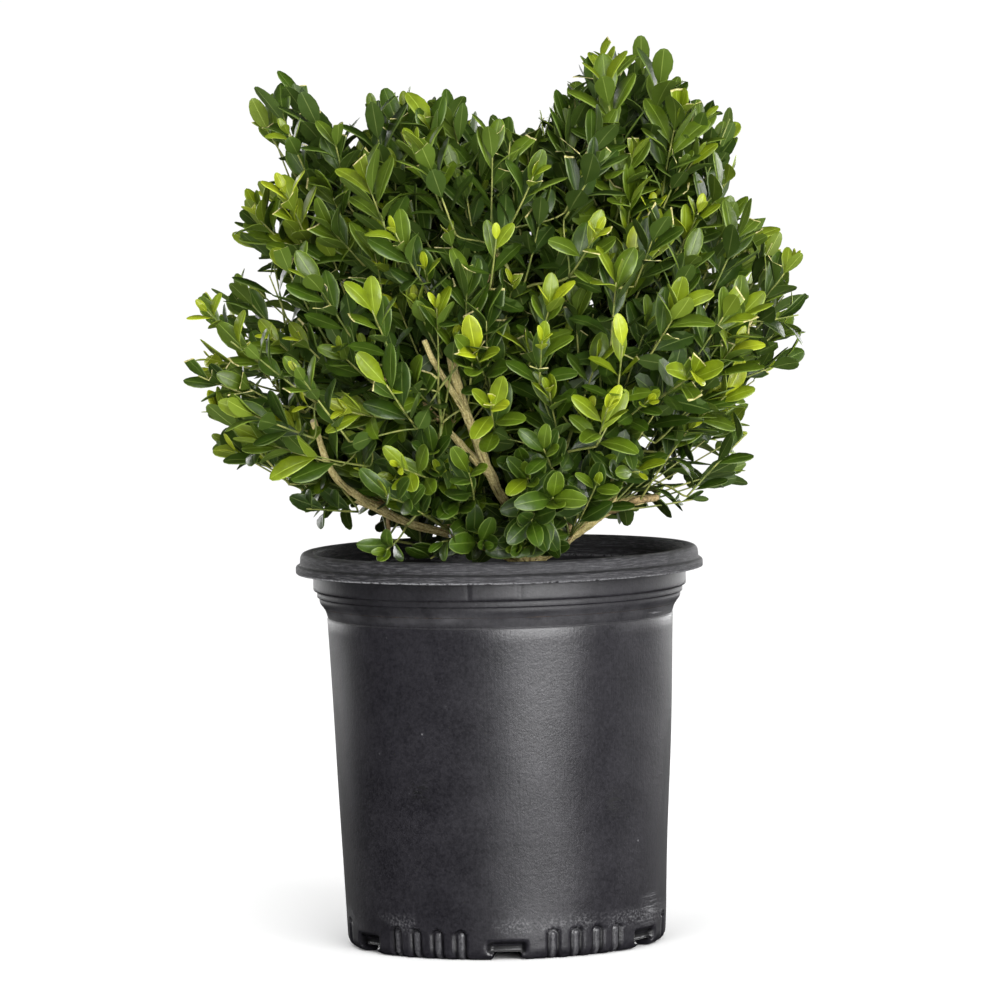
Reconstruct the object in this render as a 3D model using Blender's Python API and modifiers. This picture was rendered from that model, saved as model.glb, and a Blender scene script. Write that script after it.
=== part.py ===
"""A young boxwood shrub, grown bushy from one short trunk, in its round nursery pot.

Everything is in metres with +Z up. The origin is the centre of the pot's underside, on the flat
hub that stands level with the pot's feet. The plant's front, the side seen in a portrait of it,
faces -Y.
"""

import math

import bmesh
import bpy
import numpy as np
from mathutils import Matrix, Vector
from mathutils.bvhtree import BVHTree

SEED = 29

# The finishes: charcoal plastic, moist bark mix, tan bark and deep green leaves.
POT_COLOUR = (0.020, 0.020, 0.021)
POT_ROUGHNESS = 0.42
MIX_COLOUR = (0.045, 0.030, 0.020)
MIX_ROUGHNESS = 0.95
BARK_COLOUR = (0.42, 0.30, 0.16)
BARK_ROUGHNESS = 0.85
LEAF_COLOUR = (0.060, 0.120, 0.022)
LEAF_ROUGHNESS = 0.38

# The pot: its radii and heights, from the ground up.
POT_SIDES = 40
POT_HEIGHT = 0.2150
FOOT_RADIUS = 0.0817
FOOT_CORNER = (0.0856, 0.0026)
BODY_BOTTOM = 0.0075
BODY_BOTTOM_RADIUS = 0.0869
BODY_TOP_RADIUS = 0.0942
BODY_TOP = 0.1792
SHOULDER = (0.0957, 0.1822)
BAND_RADIUS = 0.0984
BAND_BOTTOM = 0.1875
RIDGE_RADIUS = 0.0996
RIDGE_BOTTOM = 0.1903
NECK_RADIUS = 0.1016
NECK_BOTTOM = 0.1938
NECK_ROUNDING = 0.0020
LIP_RADIUS = 0.1110
LIP_BOTTOM = 0.2035
LIP_TOP = 0.2078
BEAD_RADIUS = 0.1082
RIM_ROUNDING = 0.0012
WALL = 0.0018
FLOOR_UNDER = 0.0045
FLOOR_TOP = 0.0070
FLOOR_RADIUS = 0.0829
FLOOR_CORNER_TOP = 0.0100
FOOT_RING_INNER_RADIUS = 0.0620
HUB_RADIUS = 0.0305
HUB_SLOPE = 0.0015
SHARP_EDGE = math.radians(30)

# The six feet, with a notch between each two, a drain slot over it and four flutes on each foot.
FEET = 6
NOTCH_WIDTH = 0.0146
NOTCH_REACH = (0.0570, 0.1000)
NOTCH_BOTTOM = -0.0050
SLOT_WIDTH = 0.0180
SLOT_REACH = (0.0787, 0.1000)
SLOT_BOTTOM = 0.0039
SLOT_TOP = 0.0097
FLUTES = 4
FLUTE_PITCH = math.radians(8.8)
FLUTE_RADIUS = 0.0032
FLUTE_DEPTH = 0.0012
FLUTE_TOP = 0.0170
FLUTE_SIDES = 8

# The potting mix fills the pot to a little below the rim.
MIX_TOP = 0.1880

# Neighbours that touch on the real plant stand this far apart here.
GAP = 0.0003

# A bough slides up to its carrier until the least distance between them, measured along the
# edges of both, is this, just over the gap.
SEAT_GAP = 0.00034
SEAT_ROUNDS = 9
EDGE_STEPS = 9

# The trunk: a short stem that leans to the front, flared where the mix cuts it.
TRUNK_TOP = 0.2290
TRUNK_FOOT = (0.0160, -0.0020)
TRUNK_LEAN = (0.0020, -0.0050)
TRUNK_FOOT_RADIUS = 0.0105
TRUNK_RADIUS = 0.0070
TRUNK_TOP_RADIUS = 0.0058
TRUNK_POINTS = 6

# The stems that leave the trunk: the height they leave it at, the radii at both ends, and the
# places they pass through. The leader has no height: it stands on the trunk's top.
STEMS = {
    "bough_centre": (None, 0.0050, 0.0026,
        ((0.008, -0.002, 0.262), (-0.012, 0.006, 0.318), (-0.018, 0.002, 0.368))),
    "bough_front": (0.2150, 0.0036, 0.0026,
        ((0.017, -0.036, 0.226), (-0.004, -0.074, 0.256), (-0.026, -0.100, 0.322))),
    "bough_left": (0.2170, 0.0036, 0.0024,
        ((-0.012, 0.010, 0.252), (-0.050, 0.018, 0.278), (-0.074, 0.000, 0.312))),
    "bough_right": (0.2180, 0.0036, 0.0024,
        ((0.040, 0.010, 0.246), (0.062, 0.008, 0.288), (0.074, 0.006, 0.350))),
    "bough_back": (0.2140, 0.0036, 0.0024,
        ((0.014, 0.034, 0.238), (0.008, 0.058, 0.286), (0.002, 0.062, 0.334))),
    "bough_low_left": (0.2060, 0.0028, 0.0020,
        ((-0.020, -0.010, 0.222), (-0.048, -0.012, 0.230), (-0.080, -0.014, 0.246))),
    "bough_low_right": (0.2060, 0.0034, 0.0022,
        ((0.040, -0.016, 0.222), (0.064, -0.022, 0.238), (0.086, -0.018, 0.242))),
    "bough_low_front": (0.2040, 0.0026, 0.0018,
        ((0.002, -0.028, 0.220), (-0.022, -0.052, 0.232))),
    "bough_low_back": (0.2030, 0.0028, 0.0018,
        ((0.004, 0.026, 0.220), (-0.008, 0.048, 0.236))),
}

# Two stems that shears have cut short: the stem they stand on, how far up it they leave it, the
# radii at both ends, and the places they pass through. The last place is the cut end.
CUT_STEMS = {
    "cut_stem_left": ("bough_low_left", 0.72, 0.0020, 0.0017,
        ((-0.086, -0.044, 0.257), (-0.098, -0.062, 0.290))),
    "cut_stem_front": ("bough_front", 0.70, 0.0019, 0.0016,
        ((-0.032, -0.112, 0.322), (-0.037, -0.114, 0.334))),
}

# The masses of foliage: their centre, their half sizes, the stem that carries them and how far
# up that stem their bough leaves it. None means the stem itself runs into the mass.
MASSES = {
    "foliage_top_left": ((-0.084, 0.000, 0.416), (0.066, 0.074, 0.070), "bough_left", None),
    "foliage_top_centre": ((-0.024, -0.002, 0.414), (0.066, 0.066, 0.066), "bough_centre", None),
    "foliage_top_right": ((0.064, -0.004, 0.436), (0.062, 0.072, 0.074), "bough_right", None),
    "foliage_top_far_right": ((0.106, 0.008, 0.404), (0.060, 0.070, 0.070), "bough_right", 0.70),
    "foliage_top_back": ((0.002, 0.086, 0.384), (0.104, 0.084, 0.078), "bough_back", None),
    "foliage_top_front": ((0.002, -0.082, 0.378), (0.102, 0.084, 0.078), "bough_front", None),
    "foliage_left": ((-0.112, -0.020, 0.342), (0.078, 0.082, 0.068), "bough_left", 0.55),
    "foliage_right": ((0.104, -0.014, 0.336), (0.078, 0.082, 0.068), "bough_right", 0.40),
    "foliage_front_left": ((-0.056, -0.086, 0.318), (0.092, 0.084, 0.072), "bough_front", 0.50),
    "foliage_front_right": ((0.056, -0.088, 0.314), (0.092, 0.082, 0.072), "bough_low_right", 0.66),
    "foliage_back_left": ((-0.062, 0.084, 0.324), (0.096, 0.086, 0.078), "bough_back", 0.60),
    "foliage_back_right": ((0.064, 0.084, 0.320), (0.096, 0.086, 0.078), "bough_back", 0.45),
    "foliage_heart": ((0.014, -0.038, 0.324), (0.056, 0.056, 0.058), "bough_centre", 0.30),
    "foliage_low_left": ((-0.098, -0.012, 0.274), (0.072, 0.076, 0.054), "bough_low_left", None),
    "foliage_low_right": ((0.086, -0.010, 0.268), (0.068, 0.076, 0.046), "bough_low_right", None),
    "foliage_low_front_left": ((-0.044, -0.074, 0.256), (0.062, 0.072, 0.050), "bough_low_front", None),
    "foliage_low_front_right": ((0.044, -0.076, 0.256), (0.062, 0.072, 0.050), "bough_low_right", 0.30),
    "foliage_low_back": ((-0.004, 0.080, 0.260), (0.094, 0.078, 0.054), "bough_low_back", None),
}

# Boughs: how they are drawn, and how deep in its mass one ends.
TRUNK_ROUNDNESS = 2
BOUGH_ROUNDNESS = 1
LIMB_POINTS = 7
SIDE_BOUGH_POINTS = 5
SIDE_BOUGH_RADIUS = 0.0024
SIDE_BOUGH_TIP_RADIUS = 0.0015
SIDE_BOUGH_BOW = 0.35
SIDE_BOUGH_LEAST_LEAN = math.radians(40)
ENTRY_DEPTH = 0.52
LEAST_EXTENSION = 0.004
SLANT_MARGIN = 1.15

# Foliage: the space kept round a mass, its core, its shoots and its leaves.
SPACE_GAP = 0.0008
RIM_CLEARANCE = 0.0012
CORE_SHARE = 0.55
CORE_FLAT_SHARE = 0.90
CORE_SUBDIVISIONS = 2
CORE_CLEARANCE = 0.0015
CORE_LEAST = 0.0020
CORE_LIMB_STEPS = 41
SIDEWAYS = 0.001
SHOOTS = 10
SHOOT_CANDIDATES = 40
SHOOT_DRAWS = 240
SHOOT_REACH = (0.80, 1.05)
SHOOT_LEAST = 0.014
OUTWARD_LEAST = -0.30
PATH_WEIGHT = 0.35
TWIG_SIDES = 3
TWIG_TIP_RADIUS = 0.0014
TWIG_RADIUS = 0.0016
TWIG_TAPER = 0.85
STEM_RADIUS = 0.0018
TWIG_CLEARANCE = 0.0020
TWIG_STEP = 0.0020
SHOOT_LIMB_CLEARANCE = 0.0060
LEAF_LENGTH = 0.036
LEAF_WIDTH = 0.020
LEAF_THICKNESS = 0.0014
LEAF_WIDEST = 0.56
LEAF_SINK = 0.0007
PAIR_STEP = 0.0120
PAIR_MARGIN = 0.0048
PAIR_SLIP = 0.0030
TURNS_TRIED = 5
CROSSING_MARGIN = 0.04
LEAF_ANGLE = math.radians(48)
LEAF_CLEARANCE = 0.0042
LEAF_SAMPLES = (9, 5)
LIFT = 0.25


def empty_the_scene():
    for item in list(bpy.data.objects):
        bpy.data.objects.remove(item, do_unlink=True)


def new_collection(name):
    collection = bpy.data.collections.new(name)
    bpy.context.scene.collection.children.link(collection)
    return collection


def new_material(name, colour, roughness):
    material = bpy.data.materials.new(name)
    material.use_nodes = True
    shader = material.node_tree.nodes["Principled BSDF"]
    shader.inputs["Base Color"].default_value = (*colour, 1.0)
    shader.inputs["Roughness"].default_value = roughness
    shader.inputs["Metallic"].default_value = 0.0
    material.diffuse_color = (*colour, 1.0)
    return material


def new_object(name, data, collection, material=None):
    item = bpy.data.objects.new(name, data)
    collection.objects.link(item)
    if material:
        data.materials.append(material)
    return item


def mesh_from(work, name):
    """A mesh datablock from a bmesh, which is freed."""
    mesh = bpy.data.meshes.new(name)
    work.to_mesh(mesh)
    work.free()
    return mesh


def evaluated_mesh(item):
    """A new mesh datablock of an object with its modifiers applied."""
    bpy.context.view_layer.update()
    return bpy.data.meshes.new_from_object(item.evaluated_get(bpy.context.evaluated_depsgraph_get()))


def hide_cutter(item):
    item.hide_render = True
    item.display_type = "WIRE"


def unit(vector):
    return vector / np.linalg.norm(vector)


def turned(name, profile, collection, material):
    """A solid of revolution: the profile runs from the axis, round the outer side, to the axis."""
    mesh = bpy.data.meshes.new(name)
    corners = [(radius, 0.0, height) for radius, height in profile]
    mesh.from_pydata(corners, [(i, i + 1) for i in range(len(corners) - 1)], [])
    item = new_object(name, mesh, collection, material)
    screw = item.modifiers.new("Turn", "SCREW")
    screw.steps = POT_SIDES
    screw.render_steps = POT_SIDES
    screw.use_merge_vertices = True
    screw.merge_threshold = 0.00001
    shape = evaluated_mesh(item)
    item.modifiers.clear()
    item.data = shape
    shape.shade_smooth()
    shape.set_sharp_from_angle(angle=SHARP_EDGE)
    return item


def body_radius(height):
    """Outer radius of the pot's straight wall at a height."""
    share = (height - BODY_BOTTOM) / (BODY_TOP - BODY_BOTTOM)
    return BODY_BOTTOM_RADIUS + share * (BODY_TOP_RADIUS - BODY_BOTTOM_RADIUS)


def pot_profile():
    """Down from the centre of the inside, up the inner wall, over the rim and down the outside."""
    inside = [
        (0.0, FLOOR_TOP),
        (FLOOR_RADIUS, FLOOR_TOP),
        (body_radius(FLOOR_CORNER_TOP) - WALL, FLOOR_CORNER_TOP),
        (BODY_TOP_RADIUS - WALL, BODY_TOP),
        (BAND_RADIUS - WALL, BAND_BOTTOM),
        (BAND_RADIUS - WALL, NECK_BOTTOM),
        (NECK_RADIUS - WALL, NECK_BOTTOM + WALL),
        (NECK_RADIUS - WALL, LIP_TOP),
        (NECK_RADIUS - WALL / 2, POT_HEIGHT - WALL),
        (NECK_RADIUS + RIM_ROUNDING, POT_HEIGHT),
    ]
    rim = [
        (BEAD_RADIUS - RIM_ROUNDING, POT_HEIGHT - RIM_ROUNDING / 2),
        (BEAD_RADIUS, POT_HEIGHT - 3 * RIM_ROUNDING),
        (BEAD_RADIUS, LIP_TOP + RIM_ROUNDING / 2),
        (LIP_RADIUS - RIM_ROUNDING / 2, LIP_TOP),
        (LIP_RADIUS, LIP_TOP - RIM_ROUNDING),
        (LIP_RADIUS, LIP_BOTTOM + RIM_ROUNDING),
        (LIP_RADIUS - RIM_ROUNDING, LIP_BOTTOM),
        (NECK_RADIUS, LIP_BOTTOM),
    ]
    outside = [
        (NECK_RADIUS, NECK_BOTTOM + NECK_ROUNDING),
        (RIDGE_RADIUS, NECK_BOTTOM),
        (RIDGE_RADIUS, RIDGE_BOTTOM + RIM_ROUNDING / 2),
        (BAND_RADIUS, RIDGE_BOTTOM),
        (BAND_RADIUS, BAND_BOTTOM),
        SHOULDER,
        (BODY_TOP_RADIUS, BODY_TOP),
        (BODY_BOTTOM_RADIUS, BODY_BOTTOM),
        FOOT_CORNER,
        (FOOT_RADIUS, 0.0),
    ]
    underside = [
        (FOOT_RING_INNER_RADIUS, 0.0),
        (FOOT_RING_INNER_RADIUS - HUB_SLOPE, FLOOR_UNDER),
        (HUB_RADIUS + HUB_SLOPE, FLOOR_UNDER),
        (HUB_RADIUS, 0.0),
        (0.0, 0.0),
    ]
    return inside + rim + outside + underside


def mix_profile():
    """The potting mix fills the pot, a gap clear of the wall and the floor."""
    return [
        (0.0, MIX_TOP),
        (BAND_RADIUS - WALL - GAP, MIX_TOP),
        (BAND_RADIUS - WALL - GAP, BAND_BOTTOM),
        (BODY_TOP_RADIUS - WALL - GAP, BODY_TOP - GAP),
        (body_radius(FLOOR_CORNER_TOP) - WALL - GAP, FLOOR_CORNER_TOP + GAP),
        (FLOOR_RADIUS - 2 * GAP, FLOOR_TOP + GAP),
        (0.0, FLOOR_TOP + GAP),
    ]


def box_cutter(name, angle, reach, width, bottom, top, collection):
    """A box that reaches out along a direction, angled from the front (-Y) towards +X."""
    work = bmesh.new()
    size = Matrix.Diagonal((width, reach[1] - reach[0], top - bottom, 1.0))
    place = Matrix.Translation((0.0, -(reach[0] + reach[1]) / 2, (bottom + top) / 2))
    bmesh.ops.create_cube(work, size=1.0, matrix=place @ size)
    item = new_object(name, mesh_from(work, name), collection)
    item.rotation_euler.z = angle
    hide_cutter(item)


def flute_cutter(name, angle, collection):
    """An upright rod with a domed top, sunk into the wall by the flute's depth."""
    work = bmesh.new()
    straight_top = FLUTE_TOP - FLUTE_RADIUS
    out = body_radius(FLUTE_TOP / 2) + FLUTE_RADIUS - FLUTE_DEPTH
    bmesh.ops.create_uvsphere(work, u_segments=FLUTE_SIDES, v_segments=4, radius=FLUTE_RADIUS)
    for corner in work.verts:
        in_dome = corner.co.z > -FLUTE_RADIUS / 2
        corner.co.z = corner.co.z + straight_top if in_dome else -FLUTE_RADIUS
        corner.co.y -= out
    item = new_object(name, mesh_from(work, name), collection)
    item.rotation_euler.z = angle
    hide_cutter(item)


def build_pot(parts, cutters):
    black = new_material("black_polyethylene", POT_COLOUR, POT_ROUGHNESS)
    pot = turned("pot", pot_profile(), parts, black)
    turn = 2 * math.pi / FEET
    for foot in range(FEET):
        notch = foot * turn
        box_cutter(f"notch_{foot}", notch, NOTCH_REACH, NOTCH_WIDTH, NOTCH_BOTTOM, FLOOR_UNDER, cutters)
        box_cutter(f"slot_{foot}", notch, SLOT_REACH, SLOT_WIDTH, SLOT_BOTTOM, SLOT_TOP, cutters)
        for flute in range(FLUTES):
            aside = (flute - (FLUTES - 1) / 2) * FLUTE_PITCH
            flute_cutter(f"flute_{foot}_{flute}", notch + turn / 2 + aside, cutters)
    cut = pot.modifiers.new("Feet", "BOOLEAN")
    cut.operation = "DIFFERENCE"
    cut.operand_type = "COLLECTION"
    cut.collection = cutters


def smooth_path(places, count):
    """A Catmull-Rom curve through the places, read at even steps of its parameter."""
    places = np.array(places, float)
    ends = np.vstack([2 * places[0] - places[1], places, 2 * places[-1] - places[-2]])
    along = np.linspace(0, len(places) - 1, count)
    step = np.minimum(along.astype(int), len(places) - 2)
    t = (along - step)[:, None]
    a, b, c, d = (ends[step + k] for k in range(4))
    square, cube = 2 * a - 5 * b + 4 * c - d, 3 * b - a - 3 * c + d
    return 0.5 * (2 * b + (c - a) * t + square * t**2 + cube * t**3)


class Limb:
    """A tapering round limb along a path, as points and radii."""

    def __init__(self, name, path, base_radius, tip_radius):
        self.name = name
        self.path = path
        length = np.concatenate([[0], np.cumsum(np.linalg.norm(np.diff(path, axis=0), axis=1))])
        self.share = length / length[-1]
        self.radii = base_radius + (tip_radius - base_radius) * self.share

    def at(self, share):
        """Place, direction and radius a share of the way up the limb."""
        place = np.array([np.interp(share, self.share, self.path[:, k]) for k in range(3)])
        step = min(int(np.searchsorted(self.share, share, side="right")) - 1, len(self.path) - 2)
        direction = unit(self.path[step + 1] - self.path[step])
        return place, direction, np.interp(share, self.share, self.radii)

    def tip_direction(self):
        return unit(self.path[-1] - self.path[-2])


def draw_limb(limb, parts, material):
    curve = bpy.data.curves.new(limb.name, "CURVE")
    curve.dimensions = "3D"
    curve.bevel_depth = 1.0
    curve.bevel_resolution = TRUNK_ROUNDNESS if limb.name == "trunk" else BOUGH_ROUNDNESS
    curve.use_fill_caps = True
    spline = curve.splines.new("POLY")
    spline.points.add(len(limb.path) - 1)
    spline.points.foreach_set("co", np.c_[limb.path, np.ones(len(limb.path))].ravel())
    spline.points.foreach_set("radius", limb.radii)
    return new_object(limb.name, curve, parts, material)


def step_clear(place, axis, radius, onward, own_radius):
    """A place well clear of the carrier's side for a limb that leaves it along onward."""
    lean = math.acos(max(-1.0, min(1.0, float(np.dot(axis, onward)))))
    return place + onward * (radius + 2 * GAP + own_radius * abs(math.cos(lean))) / math.sin(lean)


def surface(item):
    """The faceted surface of a drawn limb: a search tree, and points all along its edges."""
    bpy.context.view_layer.update()
    evaluated = item.evaluated_get(bpy.context.evaluated_depsgraph_get())
    mesh = evaluated.to_mesh()
    corners = np.array([tuple(corner.co) for corner in mesh.vertices])
    ends = corners[np.array([tuple(edge.vertices) for edge in mesh.edges])]
    faces = [tuple(face.vertices) for face in mesh.polygons]
    evaluated.to_mesh_clear()
    steps = np.linspace(0, 1, EDGE_STEPS)[:, None, None]
    points = (ends[:, 0] * (1 - steps) + ends[:, 1] * steps).reshape(-1, 3)
    return BVHTree.FromPolygons(corners.tolist(), faces), points


def seat(limb, item, carrier_item):
    """Slides a limb's start in along its own line until it is a gap clear of its carrier."""
    carrier_tree, carrier_points = surface(carrier_item)
    inward = -unit(limb.path[1] - limb.path[0])
    for _ in range(SEAT_ROUNDS):
        tree, points = surface(item)
        own = min(carrier_tree.find_nearest(point)[3] for point in points)
        other = min(tree.find_nearest(point)[3] for point in carrier_points)
        limb.path[0] += inward * (min(own, other) - SEAT_GAP)
        item.data.splines[0].points[0].co = (*limb.path[0], 1.0)


def past_tip(carrier, aim, radius):
    """Where a limb that goes on from a carrier's flat tip starts: past the tip, by the gap and
    by what the slant of its own flat end needs."""
    tip, onward = carrier.path[-1], carrier.tip_direction()
    slant = np.linalg.norm(np.cross(onward, unit(aim - tip)))
    return tip + onward * (GAP + radius * slant * SLANT_MARGIN)


def trunk_limb():
    """The trunk: upright at its flat foot, then leaning, with a flare at the foot."""
    share = np.linspace(0, 1, TRUNK_POINTS)
    base = MIX_TOP + GAP
    lean = np.clip(share - share[1], 0, None) / (1 - share[1])
    path = np.c_[
        TRUNK_FOOT[0] + TRUNK_LEAN[0] * lean,
        TRUNK_FOOT[1] + TRUNK_LEAN[1] * lean,
        base + (TRUNK_TOP - base) * share,
    ]
    limb = Limb("trunk", path, TRUNK_RADIUS, TRUNK_TOP_RADIUS)
    limb.radii = limb.radii + (TRUNK_FOOT_RADIUS - TRUNK_RADIUS) * (1 - share) ** 3
    return limb


def stem_limb(name, trunk):
    height, base_radius, tip_radius, places = STEMS[name]
    if height is None:
        start = past_tip(trunk, np.array(places[0]), base_radius)
    else:
        share = (height - trunk.path[0, 2]) / (TRUNK_TOP - trunk.path[0, 2])
        place, axis, radius = trunk.at(share)
        start = step_clear(place, axis, radius, unit(np.array(places[0]) - place), base_radius)
    return Limb(name, smooth_path((start, *places), LIMB_POINTS), base_radius, tip_radius)


def cut_stem(name, limbs):
    carrier, share, base_radius, tip_radius, places = CUT_STEMS[name]
    place, axis, radius = limbs[carrier].at(share)
    start = step_clear(place, axis, radius, unit(np.array(places[0]) - place), base_radius)
    return Limb(name, smooth_path((start, *places), SIDE_BOUGH_POINTS), base_radius, tip_radius)


def entry(mass, start):
    """Where a straight line from the start first comes deep enough into the mass."""
    centre, halves = np.array(mass[0]), np.array(mass[1])
    away = (start - centre) / halves
    return centre + (start - centre) * ENTRY_DEPTH / max(np.linalg.norm(away), ENTRY_DEPTH)


def side_bough(name, mass, carrier):
    """A bough that leaves its carrier on a slant and bows over into its mass."""
    place, axis, radius = carrier.at(mass[3])
    end = entry(mass, place)
    aim = unit(end - place)
    aside = unit(aim - axis * np.dot(aim, axis))
    lean = max(math.atan2(np.dot(aim, aside), np.dot(aim, axis)) / 2, SIDE_BOUGH_LEAST_LEAN)
    onward = axis * math.cos(lean) + aside * math.sin(lean)
    start = step_clear(place, axis, radius, onward, SIDE_BOUGH_RADIUS)
    bend = start + onward * SIDE_BOUGH_BOW * np.linalg.norm(end - start)
    t = np.linspace(0, 1, SIDE_BOUGH_POINTS)[:, None]
    path = start * (1 - t) ** 2 + 2 * bend * t * (1 - t) + end * t**2
    return Limb(name, path, SIDE_BOUGH_RADIUS, SIDE_BOUGH_TIP_RADIUS)


def extended(limb, mass):
    """The stem that carries a mass at its own tip, run on until it enters the mass."""
    tip = limb.path[-1]
    end = entry(mass, tip)
    if np.linalg.norm(end - tip) < LEAST_EXTENSION:
        return limb
    path = smooth_path((*limb.path, end), LIMB_POINTS + 2)
    return Limb(limb.name, path, limb.radii[0], limb.radii[-1])


def build_limbs(parts):
    """All limbs, and for each mass the limb whose tip carries it."""
    bark = new_material("boxwood_bark", BARK_COLOUR, BARK_ROUGHNESS)
    trunk = trunk_limb()
    limbs = {"trunk": trunk}
    items = {"trunk": draw_limb(trunk, parts, bark)}
    own_mass = {mass[2]: mass for mass in MASSES.values() if mass[3] is None}
    for name in STEMS:
        limbs[name] = extended(stem_limb(name, trunk), own_mass[name])
        items[name] = draw_limb(limbs[name], parts, bark)
        seat(limbs[name], items[name], items["trunk"])
    carriers = {}
    for mass_name, mass in MASSES.items():
        carriers[mass_name] = limbs[mass[2]]
        if mass[3] is not None:
            name = mass_name.replace("foliage", "side_bough")
            limbs[name] = side_bough(name, mass, limbs[mass[2]])
            items[name] = draw_limb(limbs[name], parts, bark)
            seat(limbs[name], items[name], items[mass[2]])
            carriers[mass_name] = limbs[name]
    for name in CUT_STEMS:
        limbs[name] = cut_stem(name, limbs)
        items[name] = draw_limb(limbs[name], parts, bark)
        seat(limbs[name], items[name], items[CUT_STEMS[name][0]])
    return limbs, carriers


def clearance(points, limbs, without=None):
    """The least distance from each point to the surface of any limb."""
    least = np.full(len(points), np.inf)
    for limb in limbs.values():
        if limb is without:
            continue
        for a, b, ra, rb in zip(limb.path[:-1], limb.path[1:], limb.radii[:-1], limb.radii[1:]):
            along = np.clip((points - a) @ (b - a) / np.dot(b - a, b - a), 0, 1)
            nearest = a + along[:, None] * (b - a)
            least = np.minimum(least, np.linalg.norm(points - nearest, axis=1) - max(ra, rb))
    return least


def least_reach(facing, room):
    """How far one can go along each way before one of the flat sides that it faces."""
    return np.where(facing > SIDEWAYS, room / np.maximum(facing, SIDEWAYS), np.inf).min(axis=1)


class Space:
    """The space one mass keeps to: its ellipsoid, cut flat against its neighbours and the rim."""

    def __init__(self, name):
        centre, halves = (np.array(v) for v in MASSES[name][:2])
        self.centre, self.halves = centre, halves
        normals, limits = [(0.0, 0.0, -1.0)], [-(POT_HEIGHT + RIM_CLEARANCE)]
        own_weight = np.dot(centre, centre) - np.prod(halves) ** (2 / 3)
        for other, mass in MASSES.items():
            if other == name:
                continue
            other_weight = np.dot(mass[0], mass[0]) - np.prod(mass[1]) ** (2 / 3)
            between = np.array(mass[0]) - centre
            apart = np.linalg.norm(between)
            normals.append(between / apart)
            limits.append((other_weight - own_weight) / 2 / apart - SPACE_GAP / 2)
        self.normals, self.limits = np.array(normals), np.array(limits)

    def holds(self, points):
        round_part = np.sum(((points - self.centre) / self.halves) ** 2, axis=1) <= 1
        return round_part & np.all(points @ self.normals.T <= self.limits, axis=1)

    def flat_reach(self, ways):
        """How far it is from the centre to the nearest flat side, along each way."""
        facing = ways @ self.normals.T
        room = self.limits - self.centre @ self.normals.T
        return least_reach(facing, room)

    def round_reach(self, ways):
        return 1 / np.linalg.norm(ways / self.halves, axis=1)

    def reach(self, ways):
        return np.minimum(self.flat_reach(ways), self.round_reach(ways))

    def core_reach(self, ways):
        return np.minimum(self.round_reach(ways) * CORE_SHARE, self.flat_reach(ways) * CORE_FLAT_SHARE)


def shoot_tips(space, limbs, dice):
    """Shoot tips spread evenly round the space, so deep in it that a leaf on one reaches about
    to its edge: a leader that points out of the crown, then each time the candidate that lies
    farthest from the tips already chosen."""
    crown_heart = np.mean([mass[0] for mass in MASSES.values()], axis=0)
    outward = unit(space.centre - crown_heart)
    leader = space.centre + outward * (space.reach(outward[None])[0] - LEAF_LENGTH)
    tips = [leader]
    while len(tips) < SHOOTS:
        ways = dice.normal(size=(SHOOT_DRAWS, 3))
        ways /= np.linalg.norm(ways, axis=1)[:, None]
        ways = ways[ways @ outward > OUTWARD_LEAST]
        depth = space.reach(ways) - LEAF_LENGTH * dice.uniform(*SHOOT_REACH, len(ways))
        places = (space.centre + ways * depth[:, None])[depth > SHOOT_LEAST]
        places = places[clearance(places, limbs) > SHOOT_LIMB_CLEARANCE][:SHOOT_CANDIDATES]
        if not len(places):
            break
        distance = np.linalg.norm(places[:, None] - np.array(tips)[None], axis=2).min(axis=1)
        tips.append(places[int(np.argmax(distance))])
    return tips


def branch(root, heart, tips, limbs):
    """Joins the tips one by one to the nearest twig already grown, a long way from the root
    counting as farther. Returns the nodes and each node's parent."""
    nodes, parents = [root, heart], [-1, 0]
    reach = [0.0, float(np.linalg.norm(heart - root))]
    waiting = list(tips)
    while waiting:
        best = None
        for number, tip in enumerate(waiting):
            for node in range(1, len(nodes)):
                span = float(np.linalg.norm(tip - nodes[node]))
                cost = span + PATH_WEIGHT * reach[node]
                if best is None or cost < best[0]:
                    best = (cost, number, node, span)
        _, number, node, span = best
        tip = waiting.pop(number)
        steps = np.linspace(0, 1, max(int(span / TWIG_STEP), 2))[:, None]
        if clearance(nodes[node] + steps * (tip - nodes[node]), limbs).min() < TWIG_CLEARANCE:
            continue
        nodes.append(tip)
        parents.append(node)
        reach.append(reach[node] + span)
    return np.array(nodes), parents


def leaf_frame(onward, side):
    """Axes of a leaf that leaves a shoot sideways, its upper face towards the shoot's tip."""
    axis = unit(onward * math.cos(LEAF_ANGLE) + side * math.sin(LEAF_ANGLE))
    across = unit(np.cross(onward, side))
    return axis, across, np.cross(across, axis)


def shoot_leaves(base, tip, turn, ends):
    """The leaves of one shoot: one at its end, if it ends there, and pairs down its length,
    each pair crossed over the one above."""
    onward = unit(tip - base)
    flat = unit(np.cross(onward, (0.3, 0.2, 1.0)))
    side = flat * math.cos(turn) + np.cross(onward, flat) * math.sin(turn)
    frames = []
    if ends:
        axis = unit(onward + np.array((0.0, 0.0, LIFT)))
        across = unit(np.cross(axis, side))
        frames.append((tip - axis * LEAF_SINK, axis, across, np.cross(across, axis)))
    down = PAIR_MARGIN
    while down < np.linalg.norm(tip - base) - PAIR_MARGIN:
        for way, slip in ((side, 0.0), (-side, PAIR_SLIP)):
            axis, across, up = leaf_frame(onward, way)
            frames.append((tip - onward * (down + slip) - axis * LEAF_SINK, axis, across, up))
        side = np.cross(onward, side)
        down += PAIR_STEP
    return frames


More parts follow.
